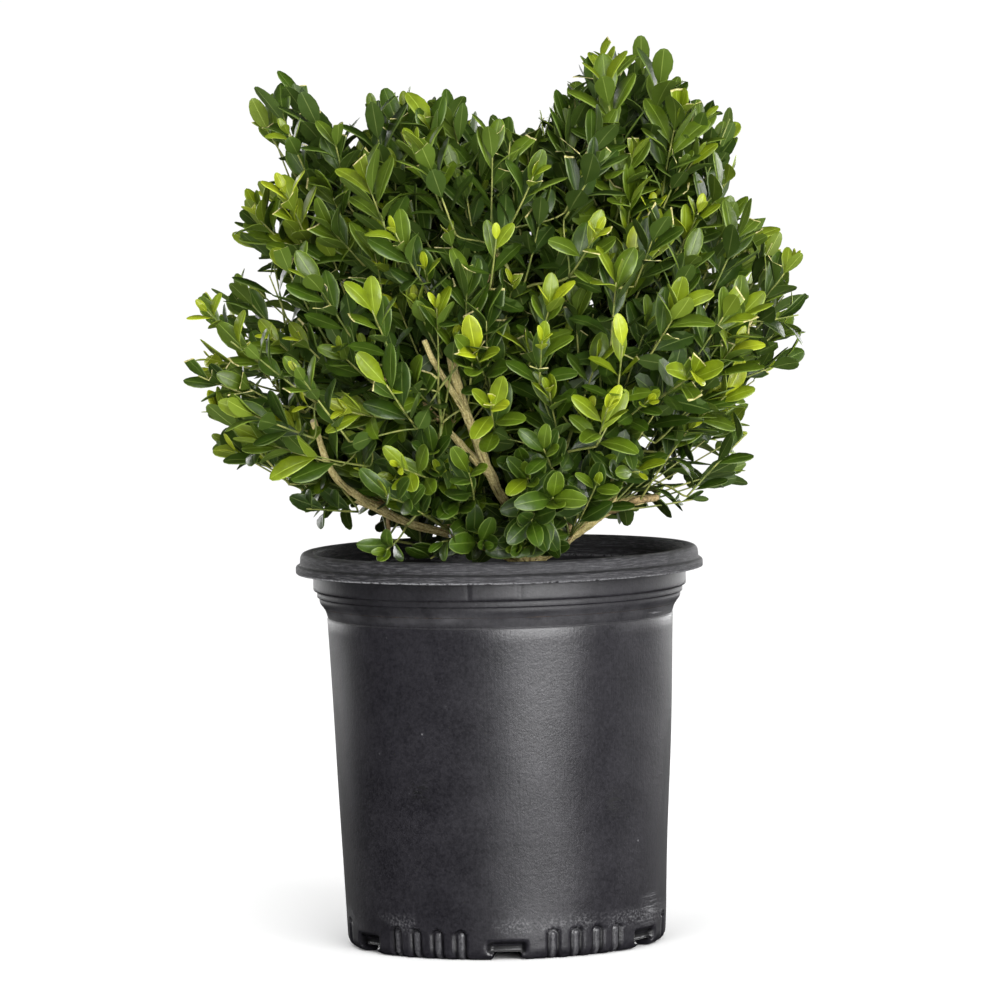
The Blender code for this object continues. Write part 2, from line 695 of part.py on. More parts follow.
def blade(start, axis, across):
    """The four corners of a leaf: root, right, tip and left."""
    widest = start + axis * LEAF_LENGTH * LEAF_WIDEST
    half = across * LEAF_WIDTH / 2
    return np.array((start, widest + half, start + axis * LEAF_LENGTH, widest - half))


def pierces(edged, pierced):
    """Whether an edge or the midrib of a blade of the first kind passes through one of the
    second. Both are arrays of blades."""
    starts = edged[:, (0, 1, 2, 3, 0)].reshape(-1, 1, 3)
    spans = edged[:, (1, 2, 3, 0, 2)].reshape(-1, 1, 3) - starts
    corners = pierced[:, ((0, 1, 2), (0, 2, 3))].reshape(1, -1, 3, 3)
    first = corners[..., 1, :] - corners[..., 0, :]
    second = corners[..., 2, :] - corners[..., 0, :]
    normal = np.cross(spans, second)
    scale = np.sum(first * normal, axis=-1)
    scale = np.where(np.abs(scale) < 1e-15, np.inf, scale)
    offset = starts - corners[..., 0, :]
    turned_offset = np.cross(offset, first)
    u = np.sum(offset * normal, axis=-1) / scale
    v = np.sum(spans * turned_offset, axis=-1) / scale
    along = np.sum(second * turned_offset, axis=-1) / scale
    inside = (u > -CROSSING_MARGIN) & (v > -CROSSING_MARGIN) & (u + v < 1 + CROSSING_MARGIN)
    return bool((inside & (along > 0) & (along < 1) & np.isfinite(scale)).any())


def leaf_fits(start, axis, across, space, limbs, blades):
    """Whether the whole leaf keeps to the space and clear of every limb and of the leaves
    already there, and its outer half stands out of the core."""
    along = np.repeat(np.linspace(0, 1, LEAF_SAMPLES[0]), LEAF_SAMPLES[1])
    aside = np.tile(np.linspace(-0.5, 0.5, LEAF_SAMPLES[1]), LEAF_SAMPLES[0])
    points = start + np.outer(along * LEAF_LENGTH, axis) + np.outer(aside * LEAF_WIDTH, across)
    outer = points[along > 0.5] - space.centre
    away = np.linalg.norm(outer, axis=1)
    if not space.holds(points).all() or (away < space.core_reach(outer / away[:, None])).any():
        return False
    if clearance(points, limbs).min() < LEAF_CLEARANCE:
        return False
    own = blade(start, axis, across)[None]
    return not blades or not (pierces(own, np.array(blades)) or pierces(np.array(blades), own))


def draw_twig(name, a, b, ra, rb, collection):
    """A three-sided twig from a to just past b, so that the next twig starts inside it."""
    work = bmesh.new()
    span = Vector(b - a)
    length = span.length + rb
    turn = span.to_track_quat("Z", "Y").to_matrix().to_4x4()
    place = Matrix.Translation(Vector(a) + span.normalized() * length / 2) @ turn
    bmesh.ops.create_cone(work, cap_ends=True, segments=TWIG_SIDES, radius1=ra, radius2=rb,
                          depth=length, matrix=place)
    new_object(name, mesh_from(work, name), collection)


def draw_leaf(name, start, axis, across, up, collection):
    """A flat eight-faced leaf, widest a little past its middle."""
    work = bmesh.new()
    bmesh.ops.create_uvsphere(work, u_segments=4, v_segments=2, radius=1.0)
    for corner in work.verts:
        if abs(corner.co.z) < 0.5:
            corner.co.z = 2 * LEAF_WIDEST - 1
    half_sizes = (across * LEAF_WIDTH / 2, up * LEAF_THICKNESS / 2, axis * LEAF_LENGTH / 2)
    shape = Matrix(half_sizes).transposed().to_4x4()
    work.transform(Matrix.Translation(Vector(start + axis * LEAF_LENGTH / 2)) @ shape)
    if shape.determinant() < 0:
        bmesh.ops.reverse_faces(work, faces=work.faces)
    new_object(name, mesh_from(work, name), collection)


def core_mesh(name, space, limbs):
    """A dense heart that the leaves stand out of: a ball drawn in until it keeps to the space
    and clear of every limb."""
    work = bmesh.new()
    bmesh.ops.create_icosphere(work, subdivisions=CORE_SUBDIVISIONS, radius=1.0)
    ways = np.array([unit(np.array(corner.co)) for corner in work.verts])
    reach = space.core_reach(ways)
    for limb in limbs.values():
        steps = np.linspace(0, 1, CORE_LIMB_STEPS)
        places = np.c_[tuple(np.interp(steps, limb.share, limb.path[:, k]) for k in range(3))]
        radii = np.interp(steps, limb.share, limb.radii)
        away = np.linalg.norm(places - space.centre, axis=1)
        facing = ways @ ((places - space.centre) / away[:, None]).T
        room = away - radii - CORE_CLEARANCE
        reach = np.minimum(reach, least_reach(facing, room))
    for corner, way, length in zip(work.verts, ways, reach):
        corner.co = Vector(space.centre + way * max(length, CORE_LEAST))
    return mesh_from(work, name)


def triangle_volume(a, b, c):
    """The signed volume between a triangle and the origin."""
    return a.co.dot(b.co.cross(c.co)) / 6


def largest_body(mesh):
    """Keeps only the body with the most volume: scraps and sealed hollows go."""
    work = bmesh.new()
    work.from_mesh(mesh)
    bmesh.ops.triangulate(work, faces=work.faces)
    unseen = set(work.verts)
    bodies = []
    while unseen:
        body = {unseen.pop()}
        edge_of_body = list(body)
        while edge_of_body:
            corner = edge_of_body.pop()
            for edge in corner.link_edges:
                other = edge.other_vert(corner)
                if other in unseen:
                    unseen.discard(other)
                    body.add(other)
                    edge_of_body.append(other)
        faces = {face for corner in body for face in corner.link_faces}
        volume = sum(triangle_volume(*face.verts) for face in faces)
        bodies.append((volume, body))
    keep = max(bodies, key=lambda item: item[0])[1]
    scraps = [corner for corner in work.verts if corner not in keep]
    bmesh.ops.delete(work, geom=scraps, context="VERTS")
    work.to_mesh(mesh)
    work.free()


def build_mass(name, carrier, limbs, parts, material):
    """One mass: a stem from its bough's tip, twigs that branch from it, leaves in pairs on them
    and a core, joined into one body."""
    dice = np.random.default_rng(SEED + list(MASSES).index(name))
    space = Space(name)
    root = past_tip(carrier, space.centre, STEM_RADIUS)
    nodes, parents = branch(root, space.centre, shoot_tips(space, limbs, dice), limbs)
    pieces = new_collection(f"pieces_{name}")
    children = [parents.count(node) for node in range(len(nodes))]
    blades = []
    for node in range(1, len(nodes)):
        thick = TWIG_TIP_RADIUS if not children[node] else TWIG_RADIUS
        if node == 1:
            thick = STEM_RADIUS
        draw_twig(f"twig_{node}", nodes[parents[node]], nodes[node], thick, thick * TWIG_TAPER, pieces)
    for node in range(2, len(nodes)):
        best = []
        for turn in dice.uniform(0, math.pi, TURNS_TRIED):
            frames = shoot_leaves(nodes[parents[node]], nodes[node], turn, not children[node])
            kept = []
            for frame in frames:
                taken = blades + [blade(*other[:3]) for other in kept]
                if leaf_fits(*frame[:3], space, limbs, taken):
                    kept.append(frame)
            if len(kept) > len(best):
                best = kept
        for frame in best:
            draw_leaf(f"leaf_{len(blades)}", *frame, pieces)
            blades.append(blade(*frame[:3]))
    mass = new_object(name, core_mesh(name, space, limbs), parts)
    union = mass.modifiers.new("Join", "BOOLEAN")
    union.operation = "UNION"
    union.operand_type = "COLLECTION"
    union.collection = pieces
    union.solver = "MANIFOLD"
    joined = evaluated_mesh(mass)
    mass.modifiers.clear()
    for piece in list(pieces.objects):
        bpy.data.objects.remove(piece, do_unlink=True)
    bpy.data.collections.remove(pieces)
    largest_body(joined)
    mass.data = joined
    joined.materials.clear()
    joined.materials.append(material)


def main():
    empty_the_scene()
    parts = new_collection("potted_boxwood")
    cutters = new_collection("cutters")
    build_pot(parts, cutters)
    mix = new_material("bark_mix", MIX_COLOUR, MIX_ROUGHNESS)
    turned("potting_mix", mix_profile(), parts, mix)
    limbs, carriers = build_limbs(parts)
    leaves = new_material("boxwood_leaves", LEAF_COLOUR, LEAF_ROUGHNESS)
    for name, carrier in carriers.items():
        build_mass(name, carrier, limbs, parts, leaves)


main()
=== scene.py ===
"""A young boxwood shrub in a round black nursery pot, finished for its portrait.

Everything is in metres with +Z up. The pot stands on the ground at z = 0, and the plant's front,
the side with the bare front stem, faces -Y.
"""

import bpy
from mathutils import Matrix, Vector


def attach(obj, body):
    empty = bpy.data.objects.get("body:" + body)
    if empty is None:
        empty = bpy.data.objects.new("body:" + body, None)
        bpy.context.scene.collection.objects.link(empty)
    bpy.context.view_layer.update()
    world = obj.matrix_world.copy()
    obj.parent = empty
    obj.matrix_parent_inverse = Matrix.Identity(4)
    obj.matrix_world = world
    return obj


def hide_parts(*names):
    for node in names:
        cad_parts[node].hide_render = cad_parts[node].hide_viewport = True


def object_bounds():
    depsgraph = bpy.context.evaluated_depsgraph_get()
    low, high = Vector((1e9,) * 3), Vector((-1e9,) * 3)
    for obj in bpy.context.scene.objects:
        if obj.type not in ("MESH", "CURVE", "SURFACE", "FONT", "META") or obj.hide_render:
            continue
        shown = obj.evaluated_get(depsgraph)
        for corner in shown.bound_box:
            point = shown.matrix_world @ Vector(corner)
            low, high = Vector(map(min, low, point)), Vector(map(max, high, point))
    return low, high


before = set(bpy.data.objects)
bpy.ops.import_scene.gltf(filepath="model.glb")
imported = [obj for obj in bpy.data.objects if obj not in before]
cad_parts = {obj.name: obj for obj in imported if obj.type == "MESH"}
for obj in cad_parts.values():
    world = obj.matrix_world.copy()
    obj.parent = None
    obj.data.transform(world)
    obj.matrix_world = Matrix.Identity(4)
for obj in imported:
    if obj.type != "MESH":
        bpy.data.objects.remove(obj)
cad_box = [list(corner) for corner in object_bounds()]

import math

import bmesh
import bpy
import numpy as np
from mathutils import Matrix


# The pot
# A round nursery pot, blow-moulded in one piece from black polyethylene: a rolled rim over a flat
# lip, a stepped neck, a plain tapering wall, and six feet with fluted faces and drain notches
# between them. It stands on the feet and on a hub in the middle of its underside.

POT_COLUMNS = 540
FEET_UP_TO = 0.0210
NECK_FROM = 0.1870
ROUNDING_STEP = 0.0012
POT_UNDERSIDE_AND_WALL = (
    (0.0000, 0.0000, 0.0),
    (0.0305, 0.0000, 0.0006),
    (0.0320, 0.0045, 0.0006),
    (0.0605, 0.0045, 0.0006),
    (0.0620, 0.0000, 0.0006),
    (0.0866, 0.0000, 0.0058),
    (0.0944, 0.1786, 0.0003),
    (0.0940, 0.1790, 0.0002),
    (0.0952, 0.1836, 0.0022),
    (0.0984, 0.1875, 0.0016),
    (0.0984, 0.1903, 0.0003),
    (0.0996, 0.1906, 0.0004),
    (0.0996, 0.1938, 0.0004),
    (0.1016, 0.1942, 0.0010),
    (0.1016, 0.2035, 0.0005),
    (0.1110, 0.2035, 0.0011),
    (0.1110, 0.2074, 0.0013),
    (0.1086, 0.2086, 0.0008),
    (0.1083, 0.2150, 0.0036),
    (0.1040, 0.2150, 0.0),
)
POT_INSIDE = (
    (0.1040, 0.2150, 0.0),
    (0.1006, 0.2150, 0.0026),
    (0.0998, 0.1950, 0.0015),
    (0.0966, 0.1935, 0.0010),
    (0.0966, 0.1875, 0.0010),
    (0.0924, 0.1792, 0.0015),
    (0.0851, 0.0100, 0.0020),
    (0.0829, 0.0070, 0.0010),
    (0.0000, 0.0070, 0.0),
)
FEET = 6
FEET_FROM_RADIUS = 0.0612
FOOT_FACE_RADII = (0.0790, 0.0835)
FOOT_ARC_RADIUS = 0.0855
NOTCH_HALF_WIDTH = 0.0073
NOTCH_HEIGHT = 0.0045
FOOT_END_ROUNDING = 0.0030
RECESS_HALF_WIDTH = 0.0100
RECESS_HEIGHTS = (0.0040, 0.0096)
RECESS_DEPTH = 0.0034
RECESS_SOFTNESS = 0.0036
FLUTE_PITCH = math.radians(8.8)
FLUTE_HALF_WIDTH = 0.0042
FLUTE_TOP = 0.0172
FLUTE_DEPTH = 0.0022
FLUTE_EDGE = (0.62, 1.0)
FLUTE_RIB = 0.65
FLUTE_RIB_EDGE = (0.22, 0.60)
NECK_HEIGHTS = (0.1945, 0.2034)
NECK_SOFTNESS = 0.0008
PANEL_ANGLES = (math.radians(-9.4), math.radians(6.0))
PANEL_RISE = 0.0005
PANEL_FADE = 0.016
PANEL_GROOVE = 0.0006
PANEL_GROOVE_REACH = 0.009
LIP_HEIGHTS = (0.2025, 0.2060)
LIP_SOFTNESS = 0.0012
LIP_WAVES = 9
LIP_WAVE_LENGTHS = (0.006, 0.03)
LIP_EDGE_RADII = (0.1060, 0.1105)
LIP_RADIUS = 0.1100
WALL_RADIUS = 0.1000
LIP_RAGGEDNESS = 0.00016
PARTING_LINE_DEPTH = 0.0005
PARTING_LINE_REACH = 0.006
PARTING_LINE_ABOVE = (0.2034, 0.2040)
PARTING_LINE_BEYOND = (0.1050, 0.1080)
WALL_HEIGHTS = (0.02, 0.18)
WALL_FADE = 0.02
WALL_WAVES = 12
WALL_WAVE_LENGTH = 0.09
WALL_WAVINESS = 0.00022
SHOULDER_EDGE = 0.1788
NECK_DULLED = (0.1780, 0.1815)
COVE_MIDDLE = 0.1838
LIP_EDGE_HEIGHT = 0.2038
RIM_WEAR = (0.2030, 0.2046)
RIM_DULLED = (0.2026, 0.2034)
FOOT_WEAR_HEIGHT = 0.0182
GROOVE_UNDER_ROLL = 0.2083


def unit(vectors):
    """Vectors divided by their length."""
    return vectors / np.linalg.norm(vectors, axis=-1, keepdims=True)


def smooth_step(value, low, high):
    """0 below low, 1 above high, and the cubic 3t^2 - 2t^3 between them."""
    t = np.clip((value - low) / (high - low), 0, 1)
    return t * t * (3 - 2 * t)


def band(value, low, high, soft):
    """1 between low and high, 0 outside, with a soft step centred on each."""
    rise = smooth_step(value, low - soft / 2, low + soft / 2)
    return rise * (1 - smooth_step(value, high - soft / 2, high + soft / 2))


def parabola(start, bend, end, t):
    """The curve from start to end that leaves towards the bend and comes in from it."""
    return start * (1 - t) ** 2 + 2 * bend * t * (1 - t) + end * t**2


def rounded(corners):
    """A profile whose corners are rounded: each becomes the parabola that leaves the side before it
    and joins the side after it a setback away from the corner. A wider one has more points."""
    corners = np.array(corners)
    pieces = [corners[:1, :2]]
    for before, (*place, setback), after in zip(corners[:-2, :2], corners[1:-1], corners[2:, :2]):
        t = np.linspace(0, 1, 3 + round(setback / ROUNDING_STEP))[:, None]
        place = np.array(place)
        start = place + unit(before - place) * setback
        pieces.append(parabola(start, place, place + unit(after - place) * setback, t))
    return np.vstack([*pieces, corners[-1:, :2]])


def evened(profile, step_at):
    """The profile with points added, so that no step is much longer than step_at gives for the
    place where it starts."""
    places = [profile[0]]
    for end in profile[1:]:
        step = step_at(places[-1])
        while (left := np.linalg.norm(end - places[-1])) > 1.4 * step:
            places.append(places[-1] + (end - places[-1]) * step / left)
            step = step_at(places[-1])
        places.append(end)
    return np.array(places)


def skin_step(place):
    """Fine steps on the feet and the neck, coarse ones on the plain wall, one on the flat middle."""
    radius, height = place
    if height > NECK_FROM:
        return 0.0014
    if height >= FEET_UP_TO:
        return 0.010
    return 0.0006 if radius > 0.083 else (0.004 if radius > 0.062 else 1.0)


def lining_step(place):
    """Short steps above the potting mix, and none where the mix hides the wall."""
    return 0.004 if place[1] > NECK_FROM else 1.0


def waves(places, length, count, dice):
    """Smooth noise about 0 with a spread of 1: a sum of plane waves of about one length, each with
    its own direction and phase."""
    ways = unit(dice.normal(size=(count, 3)))
    ways = ways * 2 * math.pi / (length * dice.uniform(0.7, 1.5, (count, 1)))
    total = np.zeros(places.shape[:-1])
    for way, phase in zip(ways, dice.uniform(0, 2 * math.pi, count)):
        total += np.cos(places @ way + phase)
    return total * math.sqrt(2 / count)


def about_axis(radius, height, angles):
    """Places about Z: radius times (sine, minus cosine) of the angle from the front, and the height."""
    places = np.broadcast_arrays(radius * np.sin(angles), -radius * np.cos(angles), height)
    return np.stack(places, axis=-1)


def turned(profile, angles):
    """A profile of radius and height, turned about Z."""
    return about_axis(profile[..., :1], profile[..., 1:], angles)


def moulded(profile, angles):
    """The turned outer skin with what its mould adds: the wall set back over each notch, the feet's
    rounded ends lifted off the ground, four domed flutes on each foot, a panel on the neck between
    two grooves, a ragged lip and a slight waviness of the thin wall. Also gives a mark for the
    finish that paints light and shade: 1 on the rib in a flute's middle for a painted highlight,
    down to -0.7 beside it and -1 in the drain slots for painted shade."""
    radius, height = profile[:, :1] + 0 * angles, profile[:, 1:] + 0 * angles
    turn = 2 * math.pi / FEET
    from_notch = np.abs((angles + turn / 2) % turn - turn / 2) * FOOT_ARC_RADIUS
    left = FOOT_END_ROUNDING - np.clip(from_notch - NOTCH_HALF_WIDTH, 0, FOOT_END_ROUNDING)
    lift = FOOT_END_ROUNDING - np.sqrt(FOOT_END_ROUNDING**2 - left**2)
    lift = np.where(from_notch < NOTCH_HALF_WIDTH, NOTCH_HEIGHT, lift)
    height = np.where(profile[:, :1] > FEET_FROM_RADIUS, np.maximum(height, lift), height)
    on_face = smooth_step(radius, *FOOT_FACE_RADII)
    recess = band(from_notch, -1.0, RECESS_HALF_WIDTH, RECESS_SOFTNESS)
    recess = recess * band(height, *RECESS_HEIGHTS, RECESS_SOFTNESS)
    radius = radius - RECESS_DEPTH * recess * on_face
    from_foot = angles % turn - turn / 2
    flute = np.clip(np.round(from_foot / FLUTE_PITCH + 1.5), 0, 3) - 1.5
    aside = (from_foot - flute * FLUTE_PITCH) * FOOT_ARC_RADIUS
    above = np.clip(height - (FLUTE_TOP - FLUTE_HALF_WIDTH), 0, None)
    away = np.hypot(aside, above) / FLUTE_HALF_WIDTH
    hollow = (1 - smooth_step(away, *FLUTE_EDGE)) * on_face
    rib = (1 - smooth_step(away, *FLUTE_RIB_EDGE)) * hollow
    radius = radius - FLUTE_DEPTH * (hollow - FLUTE_RIB * rib)
    front = (angles + math.pi) % (2 * math.pi) - math.pi
    on_neck = band(height, *NECK_HEIGHTS, NECK_SOFTNESS)
    radius = radius + PANEL_RISE * on_neck * band(front, *PANEL_ANGLES, PANEL_FADE)
    for end in PANEL_ANGLES:
        radius = radius - PANEL_GROOVE * on_neck * np.exp(-(((front - end) / PANEL_GROOVE_REACH) ** 2))
    dice = np.random.default_rng(5)
    ring = about_axis(LIP_RADIUS, 0.0, angles)
    on_lip = band(height, *LIP_HEIGHTS, LIP_SOFTNESS) * smooth_step(radius, *LIP_EDGE_RADII)
    fine, coarse = (waves(ring, length, LIP_WAVES, dice) for length in LIP_WAVE_LENGTHS)
    ragged = fine * 0.6 + coarse
    radius = radius + LIP_RAGGEDNESS * on_lip * (ragged - 1.5)
    parting = PARTING_LINE_DEPTH * np.exp(-(((front - PANEL_ANGLES[0]) / PARTING_LINE_REACH) ** 2))
    parting = parting * smooth_step(height, *PARTING_LINE_ABOVE) * smooth_step(radius, *PARTING_LINE_BEYOND)
    radius = radius - parting
    wavy = waves(about_axis(WALL_RADIUS, height, angles), WALL_WAVE_LENGTH, WALL_WAVES, dice)
    radius = radius + WALL_WAVINESS * band(height, *WALL_HEIGHTS, WALL_FADE) * wavy
    # The mark paints light and shade: a painted highlight on each flute's rib, and painted shade beside it
    # and in the drain slots.
    mark = np.clip(1.7 * rib - 0.7 * hollow, -1, 1) - recess * on_face
    return about_axis(radius, height, angles), mark


def mesh_of(name, places, faces, slots=None):
    """A smooth mesh from arrays of places and of faces that all have as many corners."""
    mesh = bpy.data.meshes.new(name)
    mesh.vertices.add(len(places))
    mesh.vertices.foreach_set("co", np.ascontiguousarray(places, np.float32).ravel())
    mesh.loops.add(faces.size)
    mesh.loops.foreach_set("vertex_index", np.ascontiguousarray(faces, np.int32).ravel())
    mesh.polygons.add(len(faces))
    starts = np.arange(0, faces.size, faces.shape[1], dtype=np.int32)
    mesh.polygons.foreach_set("loop_start", starts)
    if slots is not None:
        mesh.polygons.foreach_set("material_index", np.ascontiguousarray(slots, np.int32))
    mesh.update(calc_edges=True)
    mesh.shade_smooth()
    return mesh


def net(places):
    """The faces of a closed ring of columns: each joins two neighbours in one row to the same two in
    the next row. The grid is rows by columns."""
    rows, columns = places.shape[:2]
    here = np.arange(rows * columns).reshape(rows, columns)
    beside = np.roll(here, -1, axis=1)
    return np.stack((here[:-1], beside[:-1], beside[1:], here[1:]), axis=-1).reshape(-1, 4)


def new_piece(name, mesh, materials, nodes=()):
    """Puts a finished piece in the scene, which rides on the root body and stands for CAD nodes."""
    for material in materials:
        mesh.materials.append(material)
    piece = bpy.data.objects.new(name, mesh)
    bpy.context.scene.collection.objects.link(piece)
    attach(piece, "root")
    if nodes:
        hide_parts(*nodes)


def close_poles(mesh):
    """Merges the points that lie in one place, so that a pole or a seam is closed."""
    work = bmesh.new()
    work.from_mesh(mesh)
    bmesh.ops.remove_doubles(work, verts=work.verts, dist=0.000001)
    work.to_mesh(mesh)
    work.free()
    mesh.shade_smooth()


def mark_points(mesh, name, values):
    """Gives each point of the mesh a number of its own, which a finish can read by its name."""
    marks = mesh.attributes.new(name, "FLOAT", "POINT").data
    marks.foreach_set("value", values.astype(np.float32).ravel())


class Reading:
    """A socket that gives a number, so that a sum on it is written as plain arithmetic."""

    def __init__(self, finish, socket):
        self.finish = finish
        self.socket = socket

    def math(self, operation, *others):
        """One Math node on this number and the others."""
        return self.finish.node("ShaderNodeMath", {"operation": operation}, {
            number: value for number, value in enumerate((self, *others))})

    def __add__(self, other):
        return self.math("ADD", other)

    def __sub__(self, other):
        return self.math("SUBTRACT", other)

    def __rsub__(self, other):
        return self.finish.number(other).math("SUBTRACT", self)

    def __mul__(self, other):
        return self.math("MULTIPLY", other)

    __radd__ = __add__
    __rmul__ = __mul__

    def step(self, low, high):
        """A smooth step from 0 at low to 1 at high, or from 1 down to 0 where low is the higher."""
        return self.finish.node("ShaderNodeMapRange", {"interpolation_type": "SMOOTHSTEP"}, {
            "Value": self, "From Min": low, "From Max": high})

    def near(self, place, reach):
        """1 at a place and 0 from a reach away."""
        return (self - place).math("ABSOLUTE").step(reach, 0)


class Finish:
    """A material, with one method that makes any node and feeds its sockets."""

    def __init__(self, name, **inputs):
        self.material = bpy.data.materials.new(name)
        self.material.use_nodes = True
        self.tree = self.material.node_tree
        self.shader = self.tree.nodes["Principled BSDF"]
        self.set(**inputs)

    def set(self, **inputs):
        """Sets the shader's inputs by their names, with _ for each space."""
        for name, value in inputs.items():
            self.feed(self.shader.inputs[name.replace("_", " ")], value)

    def feed(self, socket, value):
        """Links a reading to the socket, or else gives the socket a value of its own."""
        if isinstance(value, Reading):
            self.tree.links.new(value.socket, socket)
        elif socket.type == "RGBA":
            socket.default_value = (*value, 1.0)
        else:
            socket.default_value = value

    def node(self, kind, settings=None, inputs=None, output=0):
        """Any node: its type, its settings, which come first, and its sockets' values or links."""
        made = self.tree.nodes.new(kind)
        for name, value in (settings or {}).items():
            setattr(made, name, value)
        for name, value in (inputs or {}).items():
            self.feed(made.inputs[name], value)
        return Reading(self, made.outputs[output])

    def number(self, value):
        """A plain number as a node, for a difference that starts with it."""
        return self.node("ShaderNodeMath", {"operation": "ADD"}, {0: value, 1: 0.0})

    def places(self):
        """Object coordinates: the whole vector, and its three numbers."""
        whole = self.node("ShaderNodeTexCoord", output="Object")
        parts = self.tree.nodes.new("ShaderNodeSeparateXYZ")
        self.feed(parts.inputs[0], whole)
        return whole, *(Reading(self, socket) for socket in parts.outputs)

    def point_mark(self, name):
        """The numbers that the mesh's points carry under a name."""
        return self.node("ShaderNodeAttribute", {"attribute_name": name}, None, "Fac")

    def noise(self, scale, detail=3.0, roughness=0.55, vector=None):
        """Cloudy noise about 0.5, on Object coordinates or on a vector of its own."""
        if vector is None:
            vector = self.node("ShaderNodeTexCoord", output="Object")
        return self.node("ShaderNodeTexNoise", None, {
            "Vector": vector, "Scale": scale, "Detail": detail, "Roughness": roughness})

    def mix(self, share, first, second):
        """A colour between two, by a share. RGBA sockets 6 and 7 are the Mix node's colours."""
        return self.node("ShaderNodeMix", {"data_type": "RGBA"}, {0: share, 6: first, 7: second}, 2)

    def bump(self, height, distance):
        """Tilts the normal as if the surface rose by the height times the distance."""
        self.set(Normal=self.node("ShaderNodeBump", None, {"Height": height, "Distance": distance}))


black_plastic = Finish("black_polyethylene", Specular_IOR_Level=0.65)
whole, x, y, z = black_plastic.places()
around = x.math("ARCTAN2", y * -1)


def unrolled(turn_scale, height_scale, scale, detail=3.0, roughness=0.55):
    """Noise on the pot's unrolled wall: of the angle and the height, each times a scale."""
    vector = black_plastic.node("ShaderNodeCombineXYZ", None, {
        "X": around * turn_scale, "Y": z * height_scale, "Z": 0.0})
    return black_plastic.noise(scale, detail, roughness, vector)


def spot(angle, width, height, reach):
    """1 at an angle and a height on the wall, and 0 from a width and a reach away."""
    return around.near(angle, width) * z.near(height, reach)


mottle = black_plastic.noise(45.0, 5.0)
speckle = black_plastic.noise(430.0, 2.0)
grain = black_plastic.noise(900.0, 3.0)
drawn = unrolled(14, 6, 6.0, 4.0)
streaks = unrolled(6, 700, 2.2, 5.0, 0.65)
ragged = unrolled(26, 300, 1.6, 4.0, 0.7)
flecks = unrolled(34, 420, 1.5, 6.0, 0.75)
scraped = unrolled(3, 620, 1.3, 5.0, 0.7)
smeared = unrolled(14, 520, 1.0)
# The mesh's mark: above 0 a painted highlight on the flutes' ribs, below 0 painted shade beside them and in
# the drain slots.
mark = black_plastic.point_mark("painted_light_mark")
# Worn places are paler and duller: the rim, the lip's edge, the feet, two scuffs and small specks. The
# flutes' ribs are paler too, as a painted highlight, and so is the cove under the neck, as a painted
# sheen. Smudges are darker, and painted shade darkens the flutes beside their ribs, the drain slots
# and the groove under the roll, which is also kept free of wear.
rim_wear = z.step(*RIM_WEAR) * streaks.step(0.44, 0.70)
lip_edge = z.near(LIP_EDGE_HEIGHT, 0.0011) * ragged.step(0.38, 0.58)
lip_edge = lip_edge * (0.55 + around.step(0.3, -0.5) * 0.45)
foot_patches = black_plastic.noise(26.0, 2.0).step(0.47, 0.57)
foot_wear = z.near(FOOT_WEAR_HEIGHT, 0.0080) * flecks.step(0.46, 0.64) * foot_patches
# A painted highlight down the middle of each flute's rib, broken into flecks.
flute_rib_painted_highlight = mark.step(0.15, 1.0) * flecks.step(0.30, 0.66)
scuff = spot(1.10, 0.16, 0.021, 0.014) * scraped.step(0.46, 0.66)
scuff = scuff + spot(1.08, 0.11, 0.1815, 0.0030) * scraped.step(0.48, 0.62)
specks = black_plastic.node("ShaderNodeTexVoronoi", None, {"Vector": whole, "Scale": 105.0})
specks = specks.step(0.085, 0.05) * mottle.step(0.57, 0.64)
smudge = (spot(-0.52, 0.10, 0.091, 0.011) + spot(0.72, 0.09, 0.082, 0.010)) * smeared.step(0.44, 0.56)
# A painted sheen, paler in patches, on the cove under the neck.
cove_painted_sheen = z.near(COVE_MIDDLE, 0.0050) * mottle.step(0.25, 0.75)
wear_and_painted_sheen = rim_wear * 0.42 * (1 - z.near(GROOVE_UNDER_ROLL, 0.0012) * 0.8) + lip_edge * 1.3
wear_and_painted_sheen = wear_and_painted_sheen + foot_wear * 0.46 + scuff * 0.75 + specks * 0.5 + flute_rib_painted_highlight * 0.32 + cove_painted_sheen * 0.22
wear_and_painted_sheen = (wear_and_painted_sheen + smudge * flecks.step(0.58, 0.70) * 0.5).math("MINIMUM", 1.0)
dulled = z.near(SHOULDER_EDGE, 0.0010) * 0.24 + z.step(*NECK_DULLED) * 0.16 + z.step(*RIM_DULLED) * 0.20
tone = mottle.step(0.3, 0.7) * 0.35 + grain.step(0.36, 0.64) * 0.3 + speckle.step(0.35, 0.65) * 0.35
plain = black_plastic.mix(tone, (0.0062, 0.0056, 0.0086), (0.0225, 0.0212, 0.0262))
# Darker: the smudges, which are dirt, and painted shade beside the flutes' ribs, in the drain slots and in
# the groove under the roll.
smudges_and_painted_shade = smudge * 0.85 + mark.step(-0.10, -0.60) * 0.9 + z.near(GROOVE_UNDER_ROLL, 0.0010) * 0.8
plain = black_plastic.mix(smudges_and_painted_shade, plain, (0.002, 0.002, 0.003))
black_plastic.set(
    Base_Color=black_plastic.mix(wear_and_painted_sheen, plain, (0.190, 0.190, 0.198)),
    Roughness=0.31 + mottle * 0.04 + wear_and_painted_sheen * 0.24 + drawn * 0.05 + smudge * 0.22 + dulled)
relief = grain * 0.34 + speckle * 0.3 + streaks * rim_wear * 1.2 + mottle * 0.3 + drawn * 0.25
black_plastic.bump(relief, 0.00020)

